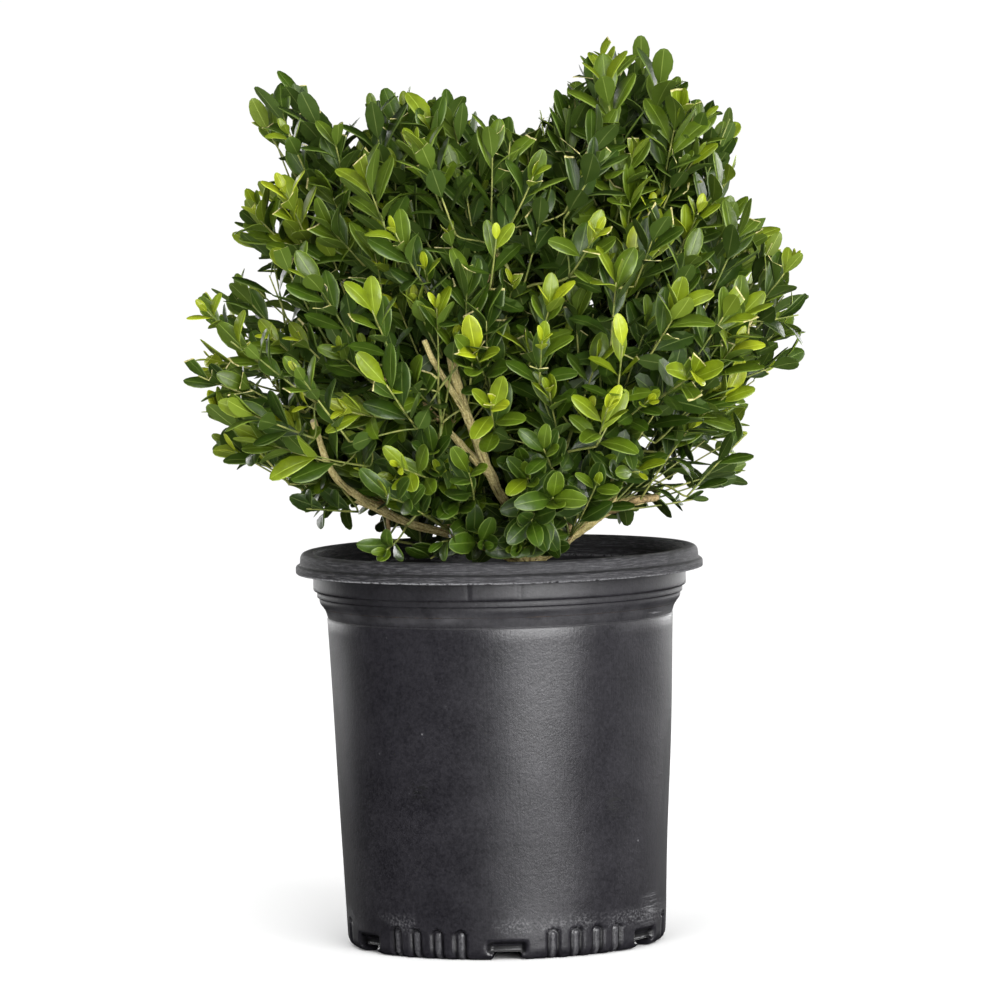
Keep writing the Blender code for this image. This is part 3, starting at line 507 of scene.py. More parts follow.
turns = np.linspace(0, 2 * math.pi, POT_COLUMNS, endpoint=False)[None]
skin, painted_light_mark = moulded(evened(rounded(POT_UNDERSIDE_AND_WALL), skin_step), turns)
lining = turned(evened(rounded(POT_INSIDE), lining_step), turns)
pot_grid = np.vstack([skin, lining[1:]])
pot_mesh = mesh_of("pot_shell", pot_grid.reshape(-1, 3), net(pot_grid))
mark_points(pot_mesh, "painted_light_mark", np.vstack([painted_light_mark, np.zeros((len(lining) - 1, POT_COLUMNS))]))
close_poles(pot_mesh)
new_piece("pot_shell", pot_mesh, [black_plastic.material], ["pot"])


# The potting mix
# Moist bark and peat that fills the pot to below the rim: a lumpy bed, a little lower at the wall,
# with loose chips of bark lying on it.

MIX_LEVEL = 0.1880
MIX_RADIUS = 0.0962
MIX_SIDE = ((0.0, 0.0074), (0.0826, 0.0074), (0.0848, 0.0103), (0.0921, 0.1792), (MIX_RADIUS, 0.1850))
MIX_ROWS = 90
MIX_COLUMNS = 300
CHIPS = 520
CHIP_SIZES = ((0.004, 0.015), (0.003, 0.007), (0.0010, 0.0026))
CHIP_TILT = 0.22
CHIP_ROLL = 0.3
CHIP_LEVELS = (-0.0002, 0.0012)

dice = np.random.default_rng(11)
share = np.linspace(0, 1, MIX_ROWS)[:, None]
turns = np.linspace(0, 2 * math.pi, MIX_COLUMNS, endpoint=False)[None]
bed = turned(np.concatenate([MIX_RADIUS * (1 - share), MIX_LEVEL + 0 * share], axis=1), turns)
# Lumps of three sizes, which fade out in the very middle. The bed lies 2 mm lower at the wall.
lumps = waves(bed, 0.016, 14, dice) * 0.0007 + waves(bed, 0.006, 18, dice) * 0.0005
lumps += np.abs(waves(bed, 0.003, 18, dice)) * 0.0005 - 0.0008
lumps = np.where(share > 0, lumps, -0.0014) * np.minimum(1, (1 - share) * 30)
bed[..., 2] += lumps - 0.002 * (1 - share) ** 6
mix_grid = np.vstack([turned(np.array(MIX_SIDE), turns), bed])
chip = np.array([(x, y, z) for x in (-1, 1) for y in (-1, 1) for z in (-1, 1)]) / 2
chip_faces = np.array([(0, 1, 3, 2), (4, 6, 7, 5), (0, 4, 5, 1), (2, 3, 7, 6), (0, 2, 6, 4), (1, 5, 7, 3)])


def turn_frames(ways, ups):
    """Three axes for each way: the way itself, one across, and one as near to up as can be."""
    across = unit(np.cross(ups, ways))
    return np.stack((ways, across, np.cross(ways, across)), axis=-2)


chip_size = np.stack([dice.uniform(*sizes, CHIPS) for sizes in CHIP_SIZES], axis=-1)
chip_turn = dice.uniform(0, 2 * math.pi, CHIPS)
chip_ways = np.stack((np.cos(chip_turn), np.sin(chip_turn), dice.normal(0, CHIP_TILT, CHIPS)), axis=-1)
chip_ups = np.stack((*dice.normal(0, CHIP_ROLL, (2, CHIPS)), np.ones(CHIPS)), axis=-1)
chip_reach = (MIX_RADIUS - 0.009) * np.sqrt(dice.uniform(0, 1, CHIPS))
chip_angle = dice.uniform(0, 2 * math.pi, CHIPS)
chip_place = np.stack((chip_reach * np.sin(chip_angle), chip_reach * np.cos(chip_angle),
                       MIX_LEVEL + dice.uniform(*CHIP_LEVELS, CHIPS)), axis=-1)
ragged_chip = chip * dice.uniform(0.62, 1.0, (CHIPS, 8, 1)) * chip_size[:, None]
chip_corners = chip_place[:, None] + ragged_chip @ turn_frames(unit(chip_ways), unit(chip_ups))
chip_numbers = (chip_faces[None] + 8 * np.arange(CHIPS)[:, None, None]).reshape(-1, 4)

bark_mix = Finish("bark_mix", Specular_IOR_Level=0.35)
crumbs = bark_mix.noise(260.0, 5.0, 0.65)
patches = bark_mix.noise(70.0, 4.0)
dark_or_brown = bark_mix.mix(crumbs.step(0.38, 0.66), (0.012, 0.008, 0.006), (0.075, 0.046, 0.028))
bark_mix.set(
    Base_Color=bark_mix.mix(patches.step(0.56, 0.70) * 0.5, dark_or_brown, (0.16, 0.105, 0.062)),
    Roughness=0.75 + crumbs * 0.2)
bark_mix.bump(crumbs, 0.0009)


def mottled(name, specular, patches, colours, texture=None, roughness=(0.5, 0.0), relief=None):
    """A finish whose colour runs from one to another by a noise, given as its scale, its detail and,
    where it is spread, the two shares that it is spread between. A second noise, the texture, adds
    to the roughness and raises the surface."""
    finish = Finish(name, Specular_IOR_Level=specular)
    share = finish.noise(*patches[:2])
    if patches[2:]:
        share = share.step(*patches[2:])
    finish.set(Base_Color=finish.mix(share, *colours), Roughness=roughness[0])
    if texture:
        fine = finish.noise(*texture)
        finish.set(Roughness=roughness[0] + fine * roughness[1])
        if relief:
            finish.bump(fine, relief)
    return finish.material


chip_bark = mottled(
    "chip_bark", 0.35, (85.0, 2.0, 0.40, 0.62), ((0.028, 0.017, 0.011), (0.140, 0.085, 0.048)),
    (380.0, 4.0), (0.70, 0.2), 0.0005)

mix_mesh = mesh_of("mix_bed", mix_grid.reshape(-1, 3), net(mix_grid))
close_poles(mix_mesh)
new_piece("mix_bed", mix_mesh, [bark_mix.material], ["potting_mix"])
chip_mesh = mesh_of("bark_chips", chip_corners.reshape(-1, 3), chip_numbers)
chip_mesh.shade_flat()
new_piece("bark_chips", chip_mesh, [chip_bark])


# The trunk and the boughs
# One short trunk, flared where the mix covers it, forks low into a leader and eight stems. Their
# bark is tan and corky, split lengthwise into ridges, and two stems end in an old pruning cut.

TRUNK_TOP = 0.2290
TRUNK_FOOT = (0.0160, -0.0020)
TRUNK_LEAN = (0.0020, -0.0050)
TRUNK_CURVE = 1.4
TRUNK_RADII = (0.0105, 0.0070, 0.0058)
TRUNK_ROOTED = 0.0040
# Each stem's height on the trunk, where it doesn't go on from the top, its radii at base and tip, and
# the places that it passes.
STEMS = {
    "bough_centre": (None, 0.0050, 0.0026,
        ((0.008, -0.002, 0.262), (-0.012, 0.006, 0.318), (-0.018, 0.002, 0.368))),
    "bough_front": (0.2150, 0.0033, 0.0022,
        ((0.017, -0.036, 0.226), (-0.002, -0.074, 0.256), (-0.023, -0.100, 0.322))),
    "bough_left": (0.2170, 0.0036, 0.0024,
        ((-0.012, 0.010, 0.252), (-0.050, 0.018, 0.278), (-0.074, 0.000, 0.312))),
    "bough_right": (0.2180, 0.0036, 0.0024,
        ((0.040, 0.010, 0.246), (0.062, 0.008, 0.288), (0.074, 0.006, 0.350))),
    "bough_back": (0.2140, 0.0036, 0.0024,
        ((0.014, 0.034, 0.238), (0.008, 0.058, 0.286), (0.002, 0.062, 0.334))),
    "bough_low_left": (0.2060, 0.0028, 0.0020,
        ((-0.020, -0.010, 0.222), (-0.048, -0.012, 0.230), (-0.080, -0.014, 0.246))),
    "bough_low_right": (0.2060, 0.0034, 0.0022,
        ((0.040, -0.016, 0.222), (0.064, -0.022, 0.238), (0.086, -0.018, 0.242))),
    "bough_low_front": (0.2040, 0.0026, 0.0018,
        ((0.002, -0.028, 0.220), (-0.022, -0.052, 0.232))),
    "bough_low_back": (0.2030, 0.0028, 0.0018,
        ((0.004, 0.026, 0.220), (-0.008, 0.048, 0.236))),
}
# The same for a cut stem, with the bough that it leaves and how far along that bough.
CUT_STEMS = {
    "cut_stem_left": ("bough_low_left", 0.72, 0.0020, 0.0017,
        ((-0.086, -0.044, 0.257), (-0.098, -0.062, 0.290))),
    "cut_stem_front": ("bough_front", 0.70, 0.0018, 0.0015,
        ((-0.032, -0.112, 0.322), (-0.037, -0.114, 0.334))),
}
# Each mass's centre, half sizes and bough, and how far along that bough a side bough leaves for the
# mass. Where none does, the bough itself ends in it.
MASSES = {
    "foliage_top_left": ((-0.084, 0.000, 0.416), (0.066, 0.074, 0.070), "bough_left", None),
    "foliage_top_centre": ((-0.024, -0.002, 0.414), (0.066, 0.066, 0.066), "bough_centre", None),
    "foliage_top_right": ((0.064, -0.004, 0.436), (0.062, 0.072, 0.074), "bough_right", None),
    "foliage_top_far_right": ((0.106, 0.008, 0.404), (0.060, 0.070, 0.070), "bough_right", 0.70),
    "foliage_top_back": ((0.002, 0.086, 0.384), (0.104, 0.084, 0.078), "bough_back", None),
    "foliage_top_front": ((0.002, -0.082, 0.378), (0.102, 0.084, 0.078), "bough_front", None),
    "foliage_left": ((-0.112, -0.020, 0.342), (0.078, 0.082, 0.068), "bough_left", 0.55),
    "foliage_right": ((0.104, -0.014, 0.336), (0.078, 0.082, 0.068), "bough_right", 0.40),
    "foliage_front_left": ((-0.056, -0.086, 0.318), (0.092, 0.084, 0.072), "bough_front", 0.50),
    "foliage_front_right": ((0.056, -0.088, 0.314), (0.092, 0.082, 0.072), "bough_low_right", 0.66),
    "foliage_back_left": ((-0.062, 0.084, 0.324), (0.096, 0.086, 0.078), "bough_back", 0.60),
    "foliage_back_right": ((0.064, 0.084, 0.320), (0.096, 0.086, 0.078), "bough_back", 0.45),
    "foliage_heart": ((0.014, -0.038, 0.324), (0.056, 0.056, 0.058), "bough_centre", 0.30),
    "foliage_low_left": ((-0.098, -0.012, 0.274), (0.072, 0.076, 0.054), "bough_low_left", None),
    "foliage_low_right": ((0.086, -0.010, 0.268), (0.068, 0.076, 0.046), "bough_low_right", None),
    "foliage_low_front_left": ((-0.044, -0.074, 0.256), (0.062, 0.072, 0.050), "bough_low_front", None),
    "foliage_low_front_right": ((0.044, -0.076, 0.256), (0.062, 0.072, 0.050), "bough_low_right", 0.30),
    "foliage_low_back": ((-0.004, 0.080, 0.260), (0.094, 0.078, 0.054), "bough_low_back", None),
}
SIDE_BOUGH_RADII = (0.0024, 0.0015)
SIDE_BOUGH_BOW = 0.35
SIDE_BOUGH_LEAST_LEAN = math.radians(40)
ENTRY_DEPTH = 0.52
LEAST_EXTENSION = 0.004
BARK_STEP = 0.0011
CURVE_SAMPLES = 40
START_ACROSS = (0.31, 0.87, 0.12)
BARK_SEED = 100
BARK_COLUMNS = 30
BARK_RIDGES = 6
BARK_CRACK = 0.16
BARK_SWELLING = 0.07
BARK_FINENESS = 0.028
CRACK_DRIFT_LENGTH = 0.030
CRACK_BREAK_LENGTH = 0.007
SWELLING_LENGTH = 0.012
FINE_BARK_LENGTH = 0.0022
BASE_FLARE = 0.30
BASE_FLARE_LENGTH = 0.007
CAP_SHARE = 0.02


def smooth_path(places, step):
    """A Catmull-Rom curve through the places: between b and c, with a before and d after, it is
    half of 2b + (c-a)t + (2a-5b+4c-d)t^2 + (3b-a-3c+d)t^3. It is read at even steps."""
    places = np.array(places, float)
    ends = np.vstack([2 * places[0] - places[1], places, 2 * places[-1] - places[-2]])
    along = np.linspace(0, len(places) - 1, CURVE_SAMPLES * len(places))
    span = np.minimum(along.astype(int), len(places) - 2)
    t = (along - span)[:, None]
    a, b, c, d = (ends[span + k] for k in range(4))
    square, cube = 2 * a - 5 * b + 4 * c - d, 3 * b - a - 3 * c + d
    return even_path(0.5 * (2 * b + (c - a) * t + square * t**2 + cube * t**3), step)


def length_along(path):
    """How far along the path each of its points lies."""
    return np.concatenate([[0], np.cumsum(np.linalg.norm(np.diff(path, axis=0), axis=1))])


def even_path(path, step):
    """The same line with points at even steps along it."""
    length = length_along(path)
    even = np.linspace(0, length[-1], max(int(length[-1] / step), 2) + 1)
    return np.stack([np.interp(even, length, path[:, k]) for k in range(3)], axis=1)


def at_share(path, share):
    """The place and the direction a share of the way along a path."""
    length = length_along(path)
    number = min(int(np.searchsorted(length, share * length[-1], side="right")) - 1, len(path) - 2)
    place = np.array([np.interp(share * length[-1], length, path[:, k]) for k in range(3)])
    return place, unit(path[number + 1] - path[number])


def entry(mass, start):
    """Where a straight line from the start first comes deep enough into the mass."""
    centre, halves = np.array(mass[0]), np.array(mass[1])
    away = np.linalg.norm((start - centre) / halves)
    return centre + (start - centre) * ENTRY_DEPTH / max(away, ENTRY_DEPTH)


def bough_into(mass, carrier):
    """A bough that leaves its carrier's middle on a slant and bows over into its mass: the parabola
    from the start past a bend, which lies out along the slant, to the end."""
    place, axis = at_share(carrier, mass[3])
    end = entry(mass, place)
    aim = unit(end - place)
    aside = unit(aim - axis * (aim @ axis))
    lean = max(math.atan2(aim @ aside, aim @ axis) / 2, SIDE_BOUGH_LEAST_LEAN)
    onward = axis * math.cos(lean) + aside * math.sin(lean)
    bend = place + onward * SIDE_BOUGH_BOW * np.linalg.norm(end - place)
    t = np.linspace(0, 1, CURVE_SAMPLES)[:, None]
    return even_path(parabola(place, bend, end, t), BARK_STEP)


limbs = {}
share = np.linspace(0, 1, CURVE_SAMPLES)[:, None]
foot = np.array([*TRUNK_FOOT, MIX_LEVEL - TRUNK_ROOTED])
lean = np.array([*TRUNK_LEAN, TRUNK_TOP - foot[2]])
trunk_path = foot + lean * np.c_[share**TRUNK_CURVE, share**TRUNK_CURVE, share]
above_mix = np.clip(share[:, 0], 0.05, 1)
trunk_radii = TRUNK_RADII[1] + (TRUNK_RADII[2] - TRUNK_RADII[1]) * above_mix
trunk_radii += (TRUNK_RADII[0] - TRUNK_RADII[1]) * (1 - above_mix) ** 3
limbs["trunk"] = (trunk_path, trunk_radii)
for name, (height, base_radius, tip_radius, places) in STEMS.items():
    start = trunk_path[-1]
    if height is not None:
        start = trunk_path[np.argmin(np.abs(trunk_path[:, 2] - height))]
    path = smooth_path((start, *places), BARK_STEP)
    for mass in MASSES.values():
        if mass[2] == name and mass[3] is None:
            end = entry(mass, path[-1])
            if np.linalg.norm(end - path[-1]) > LEAST_EXTENSION:
                path = smooth_path((start, *places, end), BARK_STEP)
    limbs[name] = (path, np.linspace(base_radius, tip_radius, len(path)))
carriers = {}
for name, mass in MASSES.items():
    carriers[name] = mass[2]
    if mass[3] is not None:
        carriers[name] = name.replace("foliage", "side_bough")
        path = bough_into(mass, limbs[mass[2]][0])
        limbs[carriers[name]] = (path, np.linspace(*SIDE_BOUGH_RADII, len(path)))
for name, (carrier, share, base_radius, tip_radius, places) in CUT_STEMS.items():
    path = smooth_path((at_share(limbs[carrier][0], share)[0], *places), BARK_STEP)
    limbs[name] = (path, np.linspace(base_radius, tip_radius, len(path)))


def carried_frames(path):
    """Two axes across the path at each point. The first is carried along it without a twist: at
    each step, what it has of the new direction is taken off."""
    along = unit(np.gradient(path, axis=0))
    first = np.cross(along[0], START_ACROSS)
    firsts = []
    for way in along:
        first = unit(first - way * (first @ way))
        firsts.append(first)
    firsts = np.array(firsts)
    return firsts, np.cross(along, firsts)


def barked(path, radii, dice):
    """A limb's skin: at each point of its path, a ring of the local radius. The radius swells at its
    base and at chance knots, and is cut by lengthwise cracks, which are the narrow troughs of a few
    waves round the limb that drift along it. Also gives how deep in a crack each point lies."""
    length = length_along(path)
    turn = np.linspace(0, 2 * math.pi, BARK_COLUMNS, endpoint=False)[None]
    first, second = carried_frames(path)
    ring = first[:, None] * np.cos(turn)[..., None] + second[:, None] * np.sin(turn)[..., None]
    near_skin = path[:, None] + ring * radii[:, None, None]
    drift = waves(np.c_[length, 0 * length, 0 * length], CRACK_DRIFT_LENGTH, 8, dice)[:, None]
    troughs = np.cos(BARK_RIDGES * turn + 1.6 * drift + dice.uniform(0, 6)) * 0.5 + 0.5
    finer = np.cos((2 * BARK_RIDGES + 1) * turn - 2.1 * drift + dice.uniform(0, 6)) * 0.5 + 0.5
    broken = waves(near_skin * (1, 1, 0.6), CRACK_BREAK_LENGTH, 14, dice)
    broken = smooth_step(broken, -0.9, 0.5)
    crack = np.maximum(troughs**10 * broken, 0.6 * finer**9 * (1 - broken))
    swelling = waves(near_skin, SWELLING_LENGTH, 12, dice) * BARK_SWELLING
    fine = waves(near_skin, FINE_BARK_LENGTH, 16, dice) * BARK_FINENESS
    flare = BASE_FLARE * np.exp(-length / BASE_FLARE_LENGTH)[:, None]
    radius = radii[:, None] * (1 + flare + swelling + fine - BARK_CRACK * crack)
    return path[:, None] + ring * radius[..., None], crack


corky_bark = Finish("boxwood_bark", Specular_IOR_Level=0.3)
crack_depth = corky_bark.point_mark("crack")
fibre = corky_bark.noise(900.0, 4.0, 0.6)
patch = corky_bark.noise(130.0, 3.0)
tan = corky_bark.mix(fibre.step(0.30, 0.70), (0.500, 0.400, 0.140), (0.800, 0.700, 0.330))
tan = corky_bark.mix(patch.step(0.52, 0.66) * 0.55, tan, (0.380, 0.340, 0.110))
corky_bark.set(
    Base_Color=corky_bark.mix(crack_depth.step(0.20, 0.80) * 0.8, tan, (0.200, 0.115, 0.045)),
    Roughness=0.72 + fibre * 0.2)
corky_bark.bump(fibre - crack_depth, 0.0004)
cut_wood = mottled(
    "cut_wood", 0.3, (1500.0, 2.0), ((0.56, 0.45, 0.27), (0.74, 0.63, 0.42)), (1500.0, 2.0), (0.7, 0.1))

for number, (name, (path, radii)) in enumerate(limbs.items()):
    dice = np.random.default_rng(BARK_SEED + number)
    grid, crack = barked(path, radii, dice)
    if name == "trunk":
        grid[..., 2] = np.maximum(grid[..., 2], MIX_LEVEL - TRUNK_ROOTED)
    ends = grid[[0, -1]]
    middles = ends.mean(axis=1, keepdims=True)
    caps = middles + (ends - middles) * CAP_SHARE
    grid = np.concatenate([caps[:1], grid, caps[1:]])
    crack = np.pad(crack, ((1, 1), (0, 0)))
    faces = net(grid)
    slots = np.zeros(len(faces), np.int32)
    if name in CUT_STEMS:
        slots[-BARK_COLUMNS:] = 1
    mesh = mesh_of(f"bark_{name}", grid.reshape(-1, 3), faces, slots)
    mark_points(mesh, "crack", crack)
    mesh.set_sharp_from_angle(angle=math.radians(60))
    new_piece(f"bark_{name}", mesh, [corky_bark.material, cut_wood], [name])


# The twigs
# In each mass the bough divides into twigs, which end in straight young shoots that rise out and up
# to the light. The shoots' tips are spread evenly through the mass, and the crown was last clipped
# to an outline with two peaks. Young shoots are green-yellow, older twigs tan.

SEED = 29
MIX_CLEARANCE = 0.0030
POT_RIM = (0.0970, 0.1135, 0.2166)
BELOW_LIP = 0.200
BOX_MARGIN = 0.001
SPACE_OVERLAP = 0.007
OUTER_SHOOTS = (30, 0.006, 0.022)
INNER_SHOOTS = (9, 0.028, 0.052)
SHOOT_DRAWS = 1500
LEAST_DEPTH = 0.010
TIP_CLEARANCE = 0.004
SHOOT_LENGTHS = (0.036, 0.058)
SHOOT_TAPER = (1.5, 0.9)
OUT_OF_MASS = 0.20
LIGHT_PULL = 0.42
LIGHT_HEIGHTS = (0.22, 0.36)
WAY_SCATTER = 0.13
FORK_REACH = 0.016
AWAY_FROM_ROOT = 0.30
SHOOT_SCATTER = 0.10
ROOM_UNDER_BASE = (0, 0, 0.004)
ROOM_UNDER_TIP = (0, 0, 0.005)
DRAWN_IN = 0.2
DRAWN_UP = (0, 0, 0.002)
LEAVES_BEYOND_TIP = 0.014
PATH_WEIGHT = 0.14
FROM_ROOT_COST = 1.35
TWIG_CLEARANCE = 0.0018
CROSSING_KEPT = 0.70
TWIG_SAMPLES = 9
TWIG_SIDES = 5
TWIG_LEAST_RADIUS = 0.00044
TWIG_TAPER = 0.40
BASE_SWELLING = 1.2
TWIG_AWAY_FROM_ROOT = 0.8
TWIG_BOW = (0.5, 0.6)
SHOOT_BOW = (-0.25, 0.45)
WOODY_RADIUS = 0.00115
STEM_HEART = np.array((0.014, 0.0, 0.205))
SIGHT_SLOPE = 0.066
# The outline and the openings are as seen from the front. Each opening has its place, its two half
# sizes and its slant in degrees.
CROWN_OUTLINE = np.array((
    (-0.112, 0.220), (-0.116, 0.250), (-0.134, 0.264), (-0.156, 0.257), (-0.162, 0.290),
    (-0.182, 0.340), (-0.155, 0.365), (-0.150, 0.390), (-0.122, 0.430), (-0.138, 0.460), (-0.105, 0.488),
    (-0.085, 0.446), (-0.060, 0.468), (-0.020, 0.468), (0.020, 0.446), (0.048, 0.484),
    (0.068, 0.504), (0.086, 0.496), (0.104, 0.474), (0.145, 0.450), (0.132, 0.412), (0.165, 0.385),
    (0.178, 0.340), (0.172, 0.312), (0.138, 0.300), (0.142, 0.250), (0.110, 0.236),
    (0.045, 0.222), (0.040, 0.206), (-0.060, 0.206),
))
SKY_OPENINGS = np.array((
    (-0.078, 0.228, 0.010, 0.005, 150), (0.112, 0.265, 0.007, 0.003, 165),
    (-0.125, 0.365, 0.006, 0.004, 120), (-0.116, 0.430, 0.005, 0.003, 120),
    (-0.150, 0.330, 0.010, 0.003, 130), (0.092, 0.250, 0.008, 0.003, 150),
    (0.082, 0.272, 0.006, 0.003, 60), (-0.115, 0.345, 0.006, 0.003, 0),
    (-0.125, 0.308, 0.005, 0.003, 90),
))
# The tips of the shoots that stand out in the outline or lead into it.
LEADERS = {
    "foliage_top_left": (
        (-0.112, -0.022, 0.454), (-0.118, 0.012, 0.442), (-0.100, 0.020, 0.458), (-0.106, -0.006, 0.470),
        (-0.126, -0.012, 0.430), (-0.103, -0.012, 0.466), (-0.124, 0.004, 0.450), (-0.092, -0.030, 0.446),
        (-0.062, -0.010, 0.450)),
    "foliage_top_centre": (
        (-0.046, -0.010, 0.454), (-0.022, 0.006, 0.450), (-0.004, -0.010, 0.442)),
    "foliage_top_right": (
        (0.068, -0.010, 0.486), (0.084, 0.004, 0.478), (0.046, -0.004, 0.462), (0.098, -0.008, 0.462)),
    "foliage_top_far_right": (
        (0.112, 0.000, 0.454), (0.130, -0.006, 0.446), (0.142, 0.004, 0.384)),
    "foliage_left": (
        (-0.151, -0.014, 0.340), (-0.149, -0.004, 0.330), (-0.147, -0.024, 0.322), (-0.138, -0.006, 0.376),
        (-0.152, -0.024, 0.316), (-0.124, -0.016, 0.396)),
    "foliage_right": (
        (0.156, -0.004, 0.332), (0.156, -0.014, 0.314), (0.148, 0.006, 0.368), (0.152, 0.000, 0.378)),
    "foliage_low_left": (
        (-0.142, -0.020, 0.272), (-0.140, -0.010, 0.262), (-0.104, -0.020, 0.240), (-0.106, -0.026, 0.232),
        (-0.100, -0.012, 0.226), (-0.098, -0.030, 0.236)),
    "foliage_low_right": (
        (0.108, -0.024, 0.241), (0.098, -0.034, 0.237), (0.135, -0.028, 0.276), (0.126, -0.016, 0.254),
        (0.128, -0.030, 0.268), (0.124, 0.004, 0.280)),
    "foliage_front_left": (
        (-0.012, -0.122, 0.322), (-0.020, -0.128, 0.334), (-0.030, -0.136, 0.352), (-0.014, -0.130, 0.362),
        (-0.036, -0.128, 0.372), (-0.004, -0.128, 0.344)),
    "foliage_low_front_left": (
        (-0.030, -0.096, 0.226), (-0.008, -0.100, 0.224), (-0.060, -0.082, 0.226)),
    "foliage_low_front_right": (
        (0.014, -0.098, 0.224), (0.032, -0.088, 0.228), (0.010, -0.106, 0.222), (0.044, -0.080, 0.224)),
}


def seen_height(places):
    """How high places look from the front, where the camera looks down on them a little."""
    return places[..., 2] + SIGHT_SLOPE * places[..., 1]


def mass_space(name):
    """The space a mass keeps to, as its centre, its half sizes, and the flat sides it shares with
    its neighbours. A flat side lies where the squared distances to both centres, each less the
    mass's own size squared, are the same; each mass may grow a little past it."""
    centre, halves = (np.array(values) for values in MASSES[name][:2])
    own_weight = centre @ centre - np.prod(halves) ** (2 / 3)
    others = [mass for other, mass in MASSES.items() if other != name]
    places = np.array([mass[0] for mass in others])
    weights = np.sum(places**2, axis=1) - np.prod([mass[1] for mass in others], axis=1) ** (2 / 3)
    between = places - centre
    apart = np.linalg.norm(between, axis=1)
    return centre, halves, between / apart[:, None], (weights - own_weight) / 2 / apart + SPACE_OVERLAP


def reach_of(space, ways):
    """How far it is from the centre to the edge of the space along each way."""
    centre, halves, normals, limits = space
    facing = ways @ normals.T
    room = limits - normals @ centre
    flat = np.where(facing > 0.001, room / np.maximum(facing, 0.001), np.inf).min(axis=1)
    return np.minimum(flat, 1 / np.linalg.norm(ways / halves, axis=1))


def clear_of_pot(places):
    """Whether places are over the rim, inside the mouth above the mix, or outside the rim."""
    radius, height = np.hypot(places[..., 0], places[..., 1]), places[..., 2]
    inside = (radius < POT_RIM[0]) & (height > MIX_LEVEL + MIX_CLEARANCE)
    outside = (radius > POT_RIM[1]) & (height > BELOW_LIP)
    return (height > POT_RIM[2]) | inside | outside


def in_outline(places):
    """Whether places, as they are seen from the front, lie inside the crown's clipped outline: a
    level line to the right of each crosses the outline an odd number of times."""
    across, height = places[..., 0][..., None], seen_height(places)[..., None]
    start, end = CROWN_OUTLINE, np.roll(CROWN_OUTLINE, -1, axis=0)
    spans = (start[:, 1] > height) != (end[:, 1] > height)
    rise = end[:, 1] - start[:, 1]
    slope = (end[:, 0] - start[:, 0]) / np.where(rise == 0, 1e-9, rise)
    crossing = start[:, 0] + slope * (height - start[:, 1])
    return (spans & (crossing > across)).sum(axis=-1) % 2 == 1


def in_box(places, margin=BOX_MARGIN):
    """Whether places lie inside the solids' box."""
    return ((places > low + margin) & (places < high - margin)).all(axis=-1)


def in_opening(places):
    """Whether places, as they are seen from the front, lie in an opening between two sprays where
    the sky shows. Each opening is a slanting ellipse."""
    slant = np.radians(SKY_OPENINGS[:, 4])
    aside = places[..., 0][..., None] - SKY_OPENINGS[:, 0]
    above = seen_height(places)[..., None] - SKY_OPENINGS[:, 1]
    along = (aside * np.cos(slant) + above * np.sin(slant)) / SKY_OPENINGS[:, 2]
    over = (above * np.cos(slant) - aside * np.sin(slant)) / SKY_OPENINGS[:, 3]
    return (along**2 + over**2 < 1).any(axis=-1)


low, high = np.array(cad_box)
limb_starts = np.vstack([path[:-1:4] for path, _ in limbs.values()])
limb_radii = np.concatenate([radii[:-1:4] for _, radii in limbs.values()])


def from_limbs(places):
    """The least distance from each place to the skin of any limb, read at points along them."""
    flat = places.reshape(-1, 3)
    least = [
        (np.linalg.norm(some[:, None] - limb_starts, axis=2) - limb_radii).min(axis=1)
        for some in np.array_split(flat, len(flat) // 4000 + 1)]
    return np.concatenate(least).reshape(places.shape[:-1])


def growing_way(places, centre, dice):
    """The way a shoot points: away from the plant's foot, a little out of its mass, and up to the
    light, the more so the higher it is."""
    outward = unit(places - STEM_HEART)
    out_of_mass = unit(places - centre + (0, 0, 1e-6))
    rise = np.array((0.0, 0.0, 1.0)) * smooth_step(places[:, 2], *LIGHT_HEIGHTS)[:, None]
    scatter = dice.normal(0, WAY_SCATTER, places.shape)
    return unit(outward + OUT_OF_MASS * out_of_mass + LIGHT_PULL * rise + scatter)


def shoot_tips(name, space, dice):
    """The named leaders, then tips spread evenly: each time the candidate that lies farthest from
    the tips already chosen. Most lie near the mass's edge, a few deeper. Gives tips and ways."""
    centre = space[0]
    tips = [np.array(tip) for tip in LEADERS.get(name, ())]
    for count, *depths in (OUTER_SHOOTS, INNER_SHOOTS):
        ways = unit(dice.normal(size=(SHOOT_DRAWS, 3)))
        depth = reach_of(space, ways) - dice.uniform(*depths, SHOOT_DRAWS)
        places = (centre + ways * depth[:, None])[depth > LEAST_DEPTH]
        ahead = places + growing_way(places, centre, dice) * LEAVES_BEYOND_TIP
        fits = (from_limbs(places) > TIP_CLEARANCE) & clear_of_pot(places - ROOM_UNDER_TIP)
        fits &= in_outline(ahead) & ~in_opening(places) & in_box(ahead)
        places = places[fits]
        if not tips:
            tips.append(places[0])
        distance = np.linalg.norm(places[:, None] - np.array(tips)[None], axis=2).min(axis=1)
        for _ in range(count):
            best = int(np.argmax(distance))
            tips.append(places[best])
            distance = np.minimum(distance, np.linalg.norm(places - places[best], axis=1))
    tips = np.array(tips)
    return tips, growing_way(tips, centre, dice)


